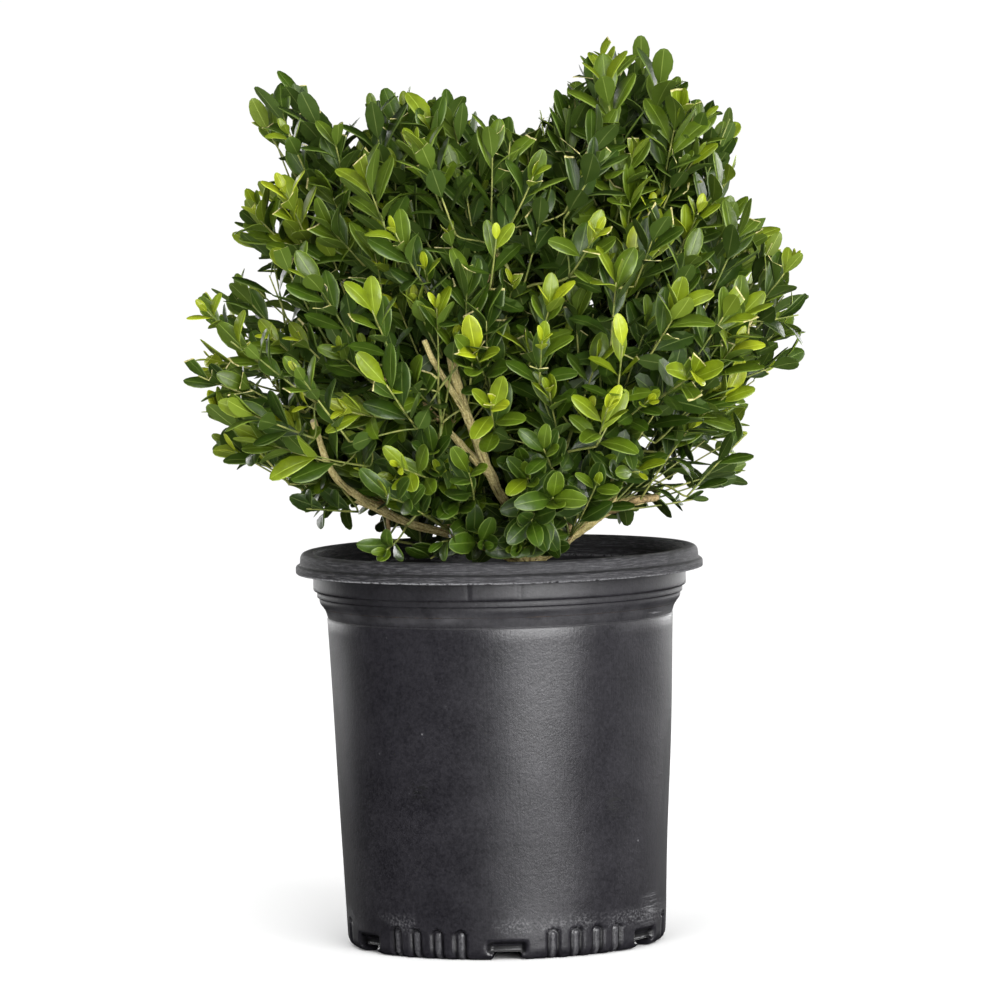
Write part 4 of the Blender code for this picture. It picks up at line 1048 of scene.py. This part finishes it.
def branched(root, heart, ends):
    """Joins the shoots' bases one by one, the nearest first, to the twigs already grown. Gives the
    nodes and each node's parent. A join costs its length and a share of the way to the root."""
    nodes, parents = [root, heart], [-1, 0]
    back = [0.0, float(np.linalg.norm(heart - root))]
    waiting = np.array(ends)
    span = np.linalg.norm(waiting - heart, axis=1)
    cost, joint = span + PATH_WEIGHT * back[1], np.ones(len(waiting), int)
    from_root = FROM_ROOT_COST * np.linalg.norm(waiting - root, axis=1)
    joint, cost = np.where(from_root < cost, 0, joint), np.minimum(from_root, cost)
    left = np.ones(len(waiting), bool)
    order = []
    while left.any():
        number = int(np.argmin(np.where(left, cost, np.inf)))
        left[number] = False
        end, parent = waiting[number], int(joint[number])
        nodes.append(end)
        parents.append(parent)
        order.append(number)
        back.append(back[parent] + float(np.linalg.norm(end - nodes[parent])))
        new_cost = np.linalg.norm(waiting - end, axis=1) + PATH_WEIGHT * back[-1]
        nearer = new_cost < cost
        cost, joint = np.where(nearer, new_cost, cost), np.where(nearer, len(nodes) - 1, joint)
    return np.array(nodes), parents, order


def bowed(start, end, leaving, arriving):
    """A cubic from start to end whose directions there are the two given, each as long as the span."""
    t = np.linspace(0, 1, TWIG_SAMPLES)[:, None]
    span = np.linalg.norm(end - start)
    path = (2 * t**3 - 3 * t**2 + 1) * start + (t**3 - 2 * t**2 + t) * leaving * span
    return path + (3 * t**2 - 2 * t**3) * end + (t**3 - t**2) * arriving * span


twigs = []
for number, (name, mass) in enumerate(MASSES.items()):
    dice = np.random.default_rng(SEED + number)
    space = mass_space(name)
    root = limbs[carriers[name]][0][-1]
    tips, tip_ways = shoot_tips(name, space, dice)
    lengths = dice.uniform(*SHOOT_LENGTHS, len(tips))
    bent = tip_ways + AWAY_FROM_ROOT * unit(tips - root)
    bent = unit(bent + dice.normal(0, SHOOT_SCATTER, tips.shape))
    bases = tips - bent * lengths[:, None]
    # A base over the pot or past the outline is drawn in towards the mass's heart.
    for _ in range(12):
        outside = ~clear_of_pot(bases - ROOM_UNDER_BASE) | ~in_outline(bases)
        drawn = bases + (space[0] - bases) * DRAWN_IN + DRAWN_UP
        bases = np.where(outside[:, None], drawn, bases)
    # Bases that lie close together share the first one's fork.
    fork = np.arange(len(bases))
    for later in range(1, len(bases)):
        near = np.linalg.norm(bases[:later] - bases[later], axis=1)
        if near.min() < FORK_REACH:
            fork[later] = fork[int(np.argmin(near))]
    forks = np.unique(fork)
    nodes, parents, order = branched(root, space[0], bases[forks])
    node_of = {forks[place]: node + 2 for node, place in enumerate(order)}
    base_nodes = [node_of[base] for base in fork]
    ways = growing_way(nodes, space[0], dice)
    ways = unit(ways + TWIG_AWAY_FROM_ROOT * unit(nodes - root + (0, 0, 1e-6)))
    ways[0] = unit(np.diff(limbs[carriers[name]][0][-2:], axis=0))[0]
    # A twig's thickness grows with the number of shoots that it carries.
    carried = np.bincount(base_nodes, minlength=len(nodes))
    for node in range(len(nodes) - 1, 0, -1):
        carried[parents[node]] += carried[node]
    thickness = TWIG_LEAST_RADIUS * np.maximum(carried, 1) ** TWIG_TAPER
    for node in range(1, len(nodes)):
        start, end = nodes[parents[node]], nodes[node]
        straight = unit(end - start + 1e-9)
        leaving = unit(TWIG_BOW[0] * ways[parents[node]] + straight)
        path = bowed(start, end, leaving, unit(TWIG_BOW[1] * ways[node] + straight))
        if node > 1 and not clear_of_pot(path).all():
            continue
        base = min(thickness[parents[node]], thickness[node] * BASE_SWELLING)
        radii = np.linspace(base, thickness[node], TWIG_SAMPLES)
        twigs.append((path, radii, 0, (number, parents[node], node)))
    for tip in range(len(tips)):
        start, end = nodes[base_nodes[tip]], tips[tip]
        straight = unit(end - start + 1e-9)
        leaving = unit(straight + SHOOT_BOW[0] * tip_ways[tip])
        path = bowed(start, end, leaving, unit(straight + SHOOT_BOW[1] * tip_ways[tip]))
        if not clear_of_pot(path).all() or from_limbs(path[2:]).min() < TWIG_CLEARANCE:
            continue
        radii = np.linspace(*SHOOT_TAPER, TWIG_SAMPLES) * TWIG_LEAST_RADIUS
        twigs.append((path, radii, 1, (number, base_nodes[tip], -1)))
twig_paths, twig_radii, twig_kinds, twig_nodes = (np.array(column) for column in zip(*twigs))
crosses_sky = in_opening(twig_paths).any(axis=1) & (twig_kinds == 1)
crossing_kept = np.random.default_rng(SEED).uniform(0, 1, len(twig_kinds)) < CROSSING_KEPT
twig_inside = in_box(twig_paths).all(axis=1) & (~crosses_sky | crossing_kept)


# The leaves, and the twigs that carry them
# Small, thick, glossy boxwood leaves in crossed pairs down each shoot: widest past the middle, blunt
# or notched at the tip, on a short stalk, with a pale midrib and a thin pale margin. New ones near a
# tip are small and lime, older ones deep green, and the tints also hold painted light and shade.
# Shears have cut some of the outer leaves across.

LEAF_LENGTHS = (0.0212, 0.0288)
LEAF_SIZE_SPREAD = (0.88, 1.07)
TOP_LEAF_GAIN = 0.10
TOP_HEIGHTS = (0.38, 0.44)
LEAF_WIDTH_SHARE = (0.40, 0.47)
LEAF_FOLDS = (8, 32)
LEAF_BENDS = (0.28, 0.30)
LEAF_TWIST = 0.16
FLAT_AGAINST = (0.31, 0.22, 1.0)
LEAN_SCATTER = 7
AXIS_SCATTER = 0.05
PAIR_TURN_SCATTER = 0.12
PAIR_STEP_SCATTER = 0.0006
TURNED_TO_LIGHT = 0.35
FACING_SCATTER = 0.10
LEAF_WIDEST = 0.56
TIP_SIZES = ((0.90, 1.0, 1.0), (0.45, 0.74, 0.94))
GROWING_VIGOUR = 0.62
LEAST_LEAVES = 5
FIRST_PAIR = 0.0012
PAIR_STEPS = (0.0060, 0.0098)
OLD_WOOD_FIRST_PAIR = (0.003, 0.012)
OLD_WOOD_STEP = 0.0112
OLD_WOOD_AGE = 7
BARE_BASE = 0.003
MISSING_ON_OLD_WOOD = 0.35
MISSING_ON_SHOOT = 0.04
LEAN_AT_TIP = 17
LEAN_GROWTH = 6.5
MOST_LEAN = 48
LEAF_SPACINGS = (
    (np.array((0.0, 0.11, 0.28, 0.48, 0.67, 0.84, 0.955, 1.0)),
     np.array((-1.0, -0.91, -0.05, 0.05, 0.91, 1.0))),
    (np.array((0.0, 0.12, 0.36, 0.62, 0.86, 1.0)),
     np.array((-1.0, -0.06, 0.06, 1.0))),
)
LEAF_THICKNESS = 0.00030
CUT_EDGE_SHARES = (0.955, 1.0, 1.0)
STALK_SHARE = 0.09
STALK_HALF_WIDTH = 0.075
STALK_HIDDEN = STALK_SHARE * 0.6
SHEARED_SHARE = 0.20
SHEARED_ABOVE = 0.30
SHEARED_PAIRS = 4
SHEARED_AT = (0.42, 0.85)
SHEAR_SLANT = 0.10
TIP_NOTCHES = (0.0, 0.020)
LEAF_LIMB_CLEARANCE = 0.0012
LEAF_BOX_MARGIN = 0.0012
LIGHT_WAY = np.array((-0.05, -0.45, 0.89))
LEAVES_OVER_STEMS = 0.06
HIDDEN_DEPTH = 0.030
HIDDEN_PAIRS = 3
YOUNG_PAIRS = 2.2
SHADED_HEIGHTS = (0.22, 0.285)
CLIPPED_HEIGHTS = (0.39, 0.44)
# The shares of a stem between which it is kept in sight, and how far leaves keep from it.
BARE_STEMS = {
    "bough_front": (0.42, 0.62, 0.0040),
    "cut_stem_front": (0.0, 1.0, 0.0048),
    "bough_low_left": (0.50, 0.86, 0.0036),
    "cut_stem_left": (0.25, 1.0, 0.0036),
    "bough_low_right": (0.36, 0.92, 0.0042),
}
# The lowest scores first, for the oldest leaves and those under painted shade: the share of all
# leaves, and the colour of their upper faces.
TINTS = {
    "leaves_deep": (0.38, (0.0210, 0.0460, 0.0028)),
    "leaves_green": (0.28, (0.0350, 0.0700, 0.0034)),
    "leaves_mid": (0.18, (0.0680, 0.1120, 0.0044)),
    "leaves_fresh": (0.11, (0.1350, 0.1860, 0.0048)),
    "leaves_lime": (0.05, (0.2500, 0.3000, 0.0080)),
}
# For each face of a leaf, two shades as a share of the upper face's colour and what is added to it,
# and then what mottled() takes.
LEAF_FINISHES = (
    ("leaf", ((0.80, (0, 0, 0)), (1.22, (0, 0, 0))),
     0.32, (90.0, 2.0, 0.32, 0.68), (260.0, 2.0), (0.29, 0.18), 0.0003),
    ("rib", ((1.25, (0.020, 0.026, 0.004)), (1.5, (0.080, 0.090, 0.020))), 0.5, (300.0, 2.0)),
    ("underside", ((0.75, (0.016, 0.030, 0.004)), (0.85, (0.040, 0.060, 0.010))),
     0.35, (140.0, 3.0), (140.0, 3.0), (0.48, 0.12)),
    ("under_rib", ((1.0, (0.080, 0.095, 0.025)), (1.3, (0.130, 0.150, 0.045))), 0.5, (300.0, 2.0)),
)

records = []
dice = np.random.default_rng(SEED + 1000)
for twig, (path, is_shoot) in enumerate(zip(twig_paths, twig_kinds)):
    length = length_along(path)[-1]
    vigour = dice.uniform(0, 1)
    size = dice.uniform(*LEAF_LENGTHS) * (1 + TOP_LEAF_GAIN * smooth_step(path[-1, 2], *TOP_HEIGHTS))
    turn = dice.uniform(0, math.pi)
    down = FIRST_PAIR if is_shoot else dice.uniform(*OLD_WOOD_FIRST_PAIR)
    pair = 0 if is_shoot else OLD_WOOD_AGE
    while down < length - BARE_BASE:
        place, along = at_share(path, 1 - down / length)
        flat = unit(np.cross(along, FLAT_AGAINST))
        side = flat * math.cos(turn) + np.cross(along, flat) * math.sin(turn)
        shrink = TIP_SIZES[vigour > GROWING_VIGOUR][pair] if pair < len(TIP_SIZES[0]) else 1.0
        for way in (side, -side):
            if dice.uniform() < (MISSING_ON_SHOOT if is_shoot else MISSING_ON_OLD_WOOD):
                continue
            lean = min(LEAN_AT_TIP + LEAN_GROWTH * pair, MOST_LEAN)
            lean = math.radians(lean + dice.normal(0, LEAN_SCATTER))
            axis = along * math.cos(lean) + way * math.sin(lean)
            axis = unit(axis + dice.normal(0, AXIS_SCATTER, 3))
            own_size = size * shrink * dice.uniform(*LEAF_SIZE_SPREAD)
            records.append((*place, *axis, *along, own_size, pair, vigour, twig))
        turn += math.pi / 2 + dice.normal(0, PAIR_TURN_SCATTER)
        step = PAIR_STEPS[0] + (PAIR_STEPS[1] - PAIR_STEPS[0]) * min(pair / 3, 1)
        down += (step if is_shoot else OLD_WOOD_STEP) + dice.normal(0, PAIR_STEP_SCATTER)
        pair += 1
records = np.array(records)
roots, axes, shoots = records[:, 0:3], records[:, 3:6], records[:, 6:9]
sizes, orders, vigours = records[:, 9:12].T
carried_by = records[:, 12].astype(int)
count = len(records)
facing = unit(shoots - axes * np.sum(shoots * axes, axis=1, keepdims=True))
facing = facing + TURNED_TO_LIGHT * unit(LIGHT_WAY + 0.5 * unit(roots - STEM_HEART))
facing = facing + dice.normal(0, FACING_SCATTER, (count, 3))
facing = unit(facing - axes * np.sum(facing * axes, axis=1, keepdims=True))
across = np.cross(facing, axes)
widths = sizes * dice.uniform(*LEAF_WIDTH_SHARE, count)
folds = np.radians(dice.uniform(*LEAF_FOLDS, count))
bends = dice.normal(*LEAF_BENDS, count)
twists = dice.normal(0, LEAF_TWIST, count)

# A leaf is left out where its midrib or its sides would pass the box, the pot, the outline, a limb, a
# sky opening or one of the bare stems in front, and its twig goes too where too few are left on it.
samples = np.linspace(0.1, 1.0, 5)[None, :, None]
spine = roots[:, None] + axes[:, None] * sizes[:, None, None] * samples
sides = across[:, None] * (widths * 0.42)[:, None, None]
probe = np.concatenate([spine, spine + sides, spine - sides], axis=1)
fits = in_box(probe, LEAF_BOX_MARGIN).all(axis=1)
fits &= clear_of_pot(probe).all(axis=1) & in_outline(probe).all(axis=1)
fits &= ~in_opening(probe).any(axis=1)
fits &= from_limbs(spine).min(axis=1) > LEAF_LIMB_CLEARANCE
leaf_seen = np.stack((probe[..., 0], seen_height(probe)), axis=-1)
crossing = np.zeros(count, bool)
for name, (first, last, width) in BARE_STEMS.items():
    path = limbs[name][0]
    stem = path[int(first * (len(path) - 1)):int(last * (len(path) - 1)) + 1:2]
    stem_seen = np.stack((stem[:, 0], seen_height(stem)), axis=1)
    apart = np.linalg.norm(leaf_seen[:, :, None] - stem_seen, axis=3)
    before = probe[:, :, None, 1] < stem[:, 1] + 0.002
    crossing |= ((apart < width) & before).any(axis=(1, 2))
fits &= ~crossing | (dice.uniform(0, 1, count) < LEAVES_OVER_STEMS)
leaves_on = np.bincount(carried_by, fits, len(twig_paths))
living = twig_inside & (leaves_on >= np.where(twig_kinds, LEAST_LEAVES, 0))
for twig in range(len(twig_paths) - 1, -1, -1):
    mass_number, _, to_node = twig_nodes[twig]
    if not twig_kinds[twig]:
        grown_on = (twig_nodes[:, 0] == mass_number) & (twig_nodes[:, 1] == to_node)
        living[twig] &= living[grown_on].any()
fits &= living[carried_by]
depth = np.full(count, -np.inf)
for name in MASSES:
    centre, halves = (np.array(values) for values in MASSES[name][:2])
    depth = np.maximum(depth, (1 - np.linalg.norm((roots - centre) / halves, axis=1)) * halves.min())
hidden = (depth > HIDDEN_DEPTH) & (orders >= HIDDEN_PAIRS)


def tubes(paths, radii, sides):
    """Closed tubes along many paths at once: at each point a ring of the local radius across the
    path, and a flat cap at each end. Gives places and faces."""
    count, rows = paths.shape[:2]
    along = unit(np.gradient(paths, axis=1))
    chord = unit(paths[:, -1] - paths[:, 0])
    aside = np.eye(3)[np.argmin(np.abs(chord), axis=1)][:, None]
    first = unit(np.cross(along, aside))
    second = np.cross(along, first)
    turn = np.linspace(0, 2 * math.pi, sides, endpoint=False)
    ring = first[:, :, None] * np.cos(turn)[:, None] + second[:, :, None] * np.sin(turn)[:, None]
    places = paths[:, :, None] + ring * radii[:, :, None, None]
    centres = paths[:, [0, -1], None] + 0 * ring[:, [0, -1]]
    places = np.concatenate([centres[:, :1], places, centres[:, 1:]], axis=1)
    one = net(places[0])
    faces = one[None] + (rows + 2) * sides * np.arange(count)[:, None, None]
    return places.reshape(-1, 3), faces.reshape(-1, 4)


young_twig = mottled(
    "young_twig", 0.4, (160.0, 3.0, 0.35, 0.65), ((0.150, 0.200, 0.040), (0.330, 0.340, 0.090)),
    (160.0, 3.0), (0.48, 0.1))
woody_twig = mottled(
    "woody_twig", 0.3, (420.0, 4.0, 0.35, 0.65), ((0.200, 0.140, 0.055), (0.480, 0.350, 0.160)),
    (420.0, 4.0), (0.68, 0.15), 0.0003)
woody = twig_radii[:, 0] > WOODY_RADIUS
for name, chosen, bark in (("young_twigs", ~woody, young_twig), ("woody_twigs", woody, woody_twig)):
    grown = living & chosen
    mesh = mesh_of(name, *tubes(twig_paths[grown], twig_radii[grown], TWIG_SIDES))
    close_poles(mesh)
    new_piece(name, mesh, [bark], list(MASSES))


def leaf_outline(t):
    """Half the leaf's width, from 0 to 1: the quarter of a sine up to the widest place, and past it
    a quarter of a rounded square. It never falls under the stalk's width at the base."""
    rising = np.clip((t - STALK_HIDDEN) / (LEAF_WIDEST - STALK_HIDDEN), 0, 1)
    rising = np.sin(math.pi / 2 * rising) ** 1.15
    falling = (1 - np.clip((t - LEAF_WIDEST) / (1 - LEAF_WIDEST), 0, 0.992) ** 1.9) ** (1 / 1.65)
    return np.maximum(np.where(t < LEAF_WIDEST, rising, falling), STALK_HALF_WIDTH)


def leaf_blades(chosen, spacing, dice):
    """The leaves as closed blades. A leaf's upper face is a grid of rows from stalk to tip and of
    columns across. Each point lies along the bent midrib, aside by the outline's half width, and
    up by the fold, and the margin rolls down a little. The underside joins the margins through a
    narrow pale strip just under the midrib, and both ends close in a point. A sheared leaf is the
    part short of a slanting cut, whose thin edge is pale."""
    row_shares, column_shares = spacing
    many, rows, columns = len(chosen), len(row_shares), len(column_shares)
    s = np.broadcast_to(column_shares[None, None], (many, rows, columns)).copy()
    s[:, [0, -1]] = 0
    in_reach = (orders[chosen] < SHEARED_PAIRS) & (roots[chosen, 2] > SHEARED_ABOVE)
    sheared = dice.uniform(0, 1, many) < SHEARED_SHARE * in_reach
    limit = np.where(sheared, dice.uniform(*SHEARED_AT, many), 1.0)[:, None, None]
    slant = np.where(sheared, dice.normal(0, SHEAR_SLANT, many), 0.0)[:, None, None]
    cut_shares = np.concatenate([row_shares[:-3], CUT_EDGE_SHARES])
    t = np.where(sheared[:, None], cut_shares, row_shares)[:, :, None]
    t = np.minimum(t * (limit + slant * s), 1.0)
    half = leaf_outline(t) * (widths[chosen] / 2)[:, None, None]
    t[:, -1] -= np.where(sheared, 0.0, dice.uniform(*TIP_NOTCHES, many))[:, None]
    length = sizes[chosen][:, None, None]
    bend = bends[chosen][:, None, None] + 1e-4
    blade_t = np.clip((t - STALK_SHARE) / (1 - STALK_SHARE), 0, 1)
    forward = length * np.sin(bend * t) / bend
    drop = length * (1 - np.cos(bend * t)) / bend
    opened = folds[chosen][:, None, None] * (np.sin(math.pi * np.clip(blade_t, 0.02, 1) ** 0.8) * 0.6 + 0.4)
    aside = half * s * np.cos(opened)
    rolled = half * (0.10 * s**2 + 0.12 * (np.abs(s) > 0.95))
    raised = half * (np.abs(s) * np.sin(opened) + twists[chosen][:, None, None] * s * t) - rolled
    local = np.stack((forward, aside, raised - drop), axis=-1)
    under = local[:, :, columns // 2 - 1:columns // 2 + 1][:, :, ::-1].copy()
    under[:, 1:-1, :, 2] -= LEAF_THICKNESS
    grid = np.concatenate([local, under], axis=2)
    own_axes = np.stack((axes[chosen], across[chosen], facing[chosen]), axis=1)
    places = roots[chosen][:, None, None] + np.einsum("nrcl,nlk->nrck", grid, own_axes)
    here = np.arange(rows * (columns + 2)).reshape(rows, columns + 2)
    around = np.roll(here, -1, axis=1)
    faces = np.stack((here[:-1], here[1:], around[1:], around[:-1]), axis=-1)
    # The slots: blade 0, midrib and margins 1, underside 2, sheared edge 3, the midrib's underside 4.
    slots = np.zeros(faces.shape[:2], int)
    slots[:, columns // 2 - 1] = 1
    slots[:, -3:] = (2, 4, 2)
    if columns > 4:
        slots[:, [0, columns - 2]] = 1
    slots = np.broadcast_to(slots[None], (many, *slots.shape)).copy()
    slots[sheared, -2:, :-3] = 3
    numbers = faces.reshape(-1, 4)[None] + rows * (columns + 2) * np.arange(many)[:, None, None]
    return places.reshape(-1, 3), numbers.reshape(-1, 4), slots.ravel()


# A leaf's tint goes by its score: it is fresher near a tip and on a vigorous shoot, and deeper near the
# clipped top. Painted light makes it paler where it stands high and faces the lamp, and painted shade
# makes it deeper low down and inside the crown.
youth = np.exp(-orders / YOUNG_PAIRS) * (0.35 + 0.65 * vigours)
youth *= 0.25 + 0.75 * smooth_step(roots[:, 2], *SHADED_HEIGHTS)
youth *= 1 - 0.45 * smooth_step(roots[:, 2], *CLIPPED_HEIGHTS)
# Painted light: a leaf that stands high or faces the lamp gains score, and so gets a paler tint.
painted_sunlight = smooth_step(roots[:, 2], 0.22, 0.34) * 0.06 + 0.14 * np.clip(facing @ unit(LIGHT_WAY), 0, 1)
by_spray = dice.normal(0, 0.12, len(twig_paths))[carried_by]
score = youth + painted_sunlight + by_spray - 6 * np.clip(depth - 0.012, 0, 0.05) + dice.normal(0, 0.05, count)
rank = np.full(count, -1.0)
rank[fits] = np.argsort(np.argsort(score[fits])) / fits.sum()
sheared_edge = mottled(
    "sheared_leaf_edge", 0.5, (520.0, 3.0, 0.35, 0.65), ((0.300, 0.280, 0.070), (0.620, 0.560, 0.260)),
    (520.0, 3.0), (0.60, 0.2))
dealt = 0.0
for number, (name, (portion, colour)) in enumerate(TINTS.items()):
    materials = []
    for part, shades, specular, patches, *surface in LEAF_FINISHES:
        greens = [np.array(colour) * share + plus for share, plus in shades]
        materials.append(mottled(name.replace("leaves", part), specular, patches, greens, *surface))
    materials.insert(3, sheared_edge)
    picked = (rank >= dealt) & (rank < dealt + portion + 1e-9)
    dealt += portion
    for is_inner, (label, spacing) in enumerate(zip(("", "_inner"), LEAF_SPACINGS)):
        chosen = np.flatnonzero(picked & (hidden == bool(is_inner)))
        if not len(chosen):
            continue
        blades = leaf_blades(chosen, spacing, np.random.default_rng(SEED + 2000 + number))
        mesh = mesh_of(name + label, *blades)
        mesh.set_sharp_from_angle(angle=math.radians(75))
        new_piece(name + label, mesh, materials, list(MASSES))


# The studio
# A plain pale floor in an even white surround. Two soft lamps light all of it, and four more only add
# the pot's sheen and its bright edges. The camera looks from the photograph's angle, a little above
# the crown's middle, tipped down under 4 degrees.

FLOOR_HALF_SIZE = 4.0
IMAGE_WIDTH = 1005
CAMERA_PLACE = (0.0025, -3.805, 0.4912)
CAMERA_PITCH = math.radians(3.78)
CAMERA_ROLL = math.radians(1.2)
FOCAL_PIXELS = 7000.0
SURROUND_STRENGTH = 1.02
# Each lamp's place, its target, its two sizes, its power, and whether it does more than add gloss.
LAMPS = (
    ("tall_light", (1.30, -2.90, 1.05), (0.0, 0.0, 0.25), (2.4, 2.1), 120.0, True),
    ("over_light", (-0.55, -1.75, 2.45), (0.0, 0.0, 0.34), (0.8, 0.8), 15.0, True),
    ("sheen_light", (1.35, -2.95, 0.50), (0.0, 0.0, 0.10), (2.8, 1.0), 60.0, False),
    ("left_edge_light", (-1.60, 2.60, 0.50), (0.0, 0.0, 0.10), (2.4, 1.0), 46.0, False),
    ("right_edge_light", (1.60, 2.60, 0.50), (0.0, 0.0, 0.10), (2.4, 1.0), 56.0, False),
    ("right_side_light", (3.00, 0.90, 0.50), (0.0, 0.0, 0.10), (2.6, 1.0), 20.0, False),
)

white_surround = bpy.data.worlds.new("white_surround")
white_surround.use_nodes = True
white_surround.node_tree.nodes["Background"].inputs["Color"].default_value = (1.0, 1.0, 1.0, 1.0)
white_surround.node_tree.nodes["Background"].inputs["Strength"].default_value = SURROUND_STRENGTH
bpy.context.scene.world = white_surround
white_surround.cycles_visibility.glossy = False

floor_paint = Finish("floor_paint", Base_Color=(0.97, 0.97, 0.97), Roughness=0.9, Specular_IOR_Level=0.0)
corners = np.array([(-1, -1, 0), (1, -1, 0), (1, 1, 0), (-1, 1, 0)]) * FLOOR_HALF_SIZE
floor_mesh = mesh_of("floor", corners, np.array([(0, 1, 2, 3)]))
floor_mesh.materials.append(floor_paint.material)
floor = bpy.data.objects.new("floor", floor_mesh)
bpy.context.scene.collection.objects.link(floor)
floor.visible_glossy = False


def aimed(place, target):
    """Where a lamp stands and how it turns: its -Z axis points at the target and its Y axis up."""
    back = unit(np.array(place) - np.array(target))
    right = unit(np.cross((0.0, 0.0, 1.0), back + (0.0, 1e-6, 0.0)))
    turn = Matrix((right, np.cross(back, right), back)).transposed()
    return Matrix.Translation(place) @ turn.to_4x4()


for name, place, target, size, power, lights_surfaces in LAMPS:
    lamp = bpy.data.lights.new(name, "AREA")
    lamp.shape = "RECTANGLE"
    lamp.size, lamp.size_y = size
    lamp.energy = power
    lamp_object = bpy.data.objects.new(name, lamp)
    lamp_object.matrix_world = aimed(place, target)
    lamp_object.visible_camera = False
    lamp_object.visible_diffuse = lights_surfaces
    bpy.context.scene.collection.objects.link(lamp_object)

camera_data = bpy.data.cameras.new("portrait_camera")
camera_data.sensor_width = 36.0
camera_data.lens = FOCAL_PIXELS / IMAGE_WIDTH * camera_data.sensor_width
camera_data.clip_end = 50.0
camera = bpy.data.objects.new("portrait_camera", camera_data)
tilt = Matrix.Rotation(math.pi / 2 - CAMERA_PITCH, 4, "X") @ Matrix.Rotation(-CAMERA_ROLL, 4, "Z")
camera.matrix_world = Matrix.Translation(CAMERA_PLACE) @ tilt
bpy.context.scene.collection.objects.link(camera)
bpy.context.scene.camera = camera
bpy.context.scene.view_settings.view_transform = "Standard"
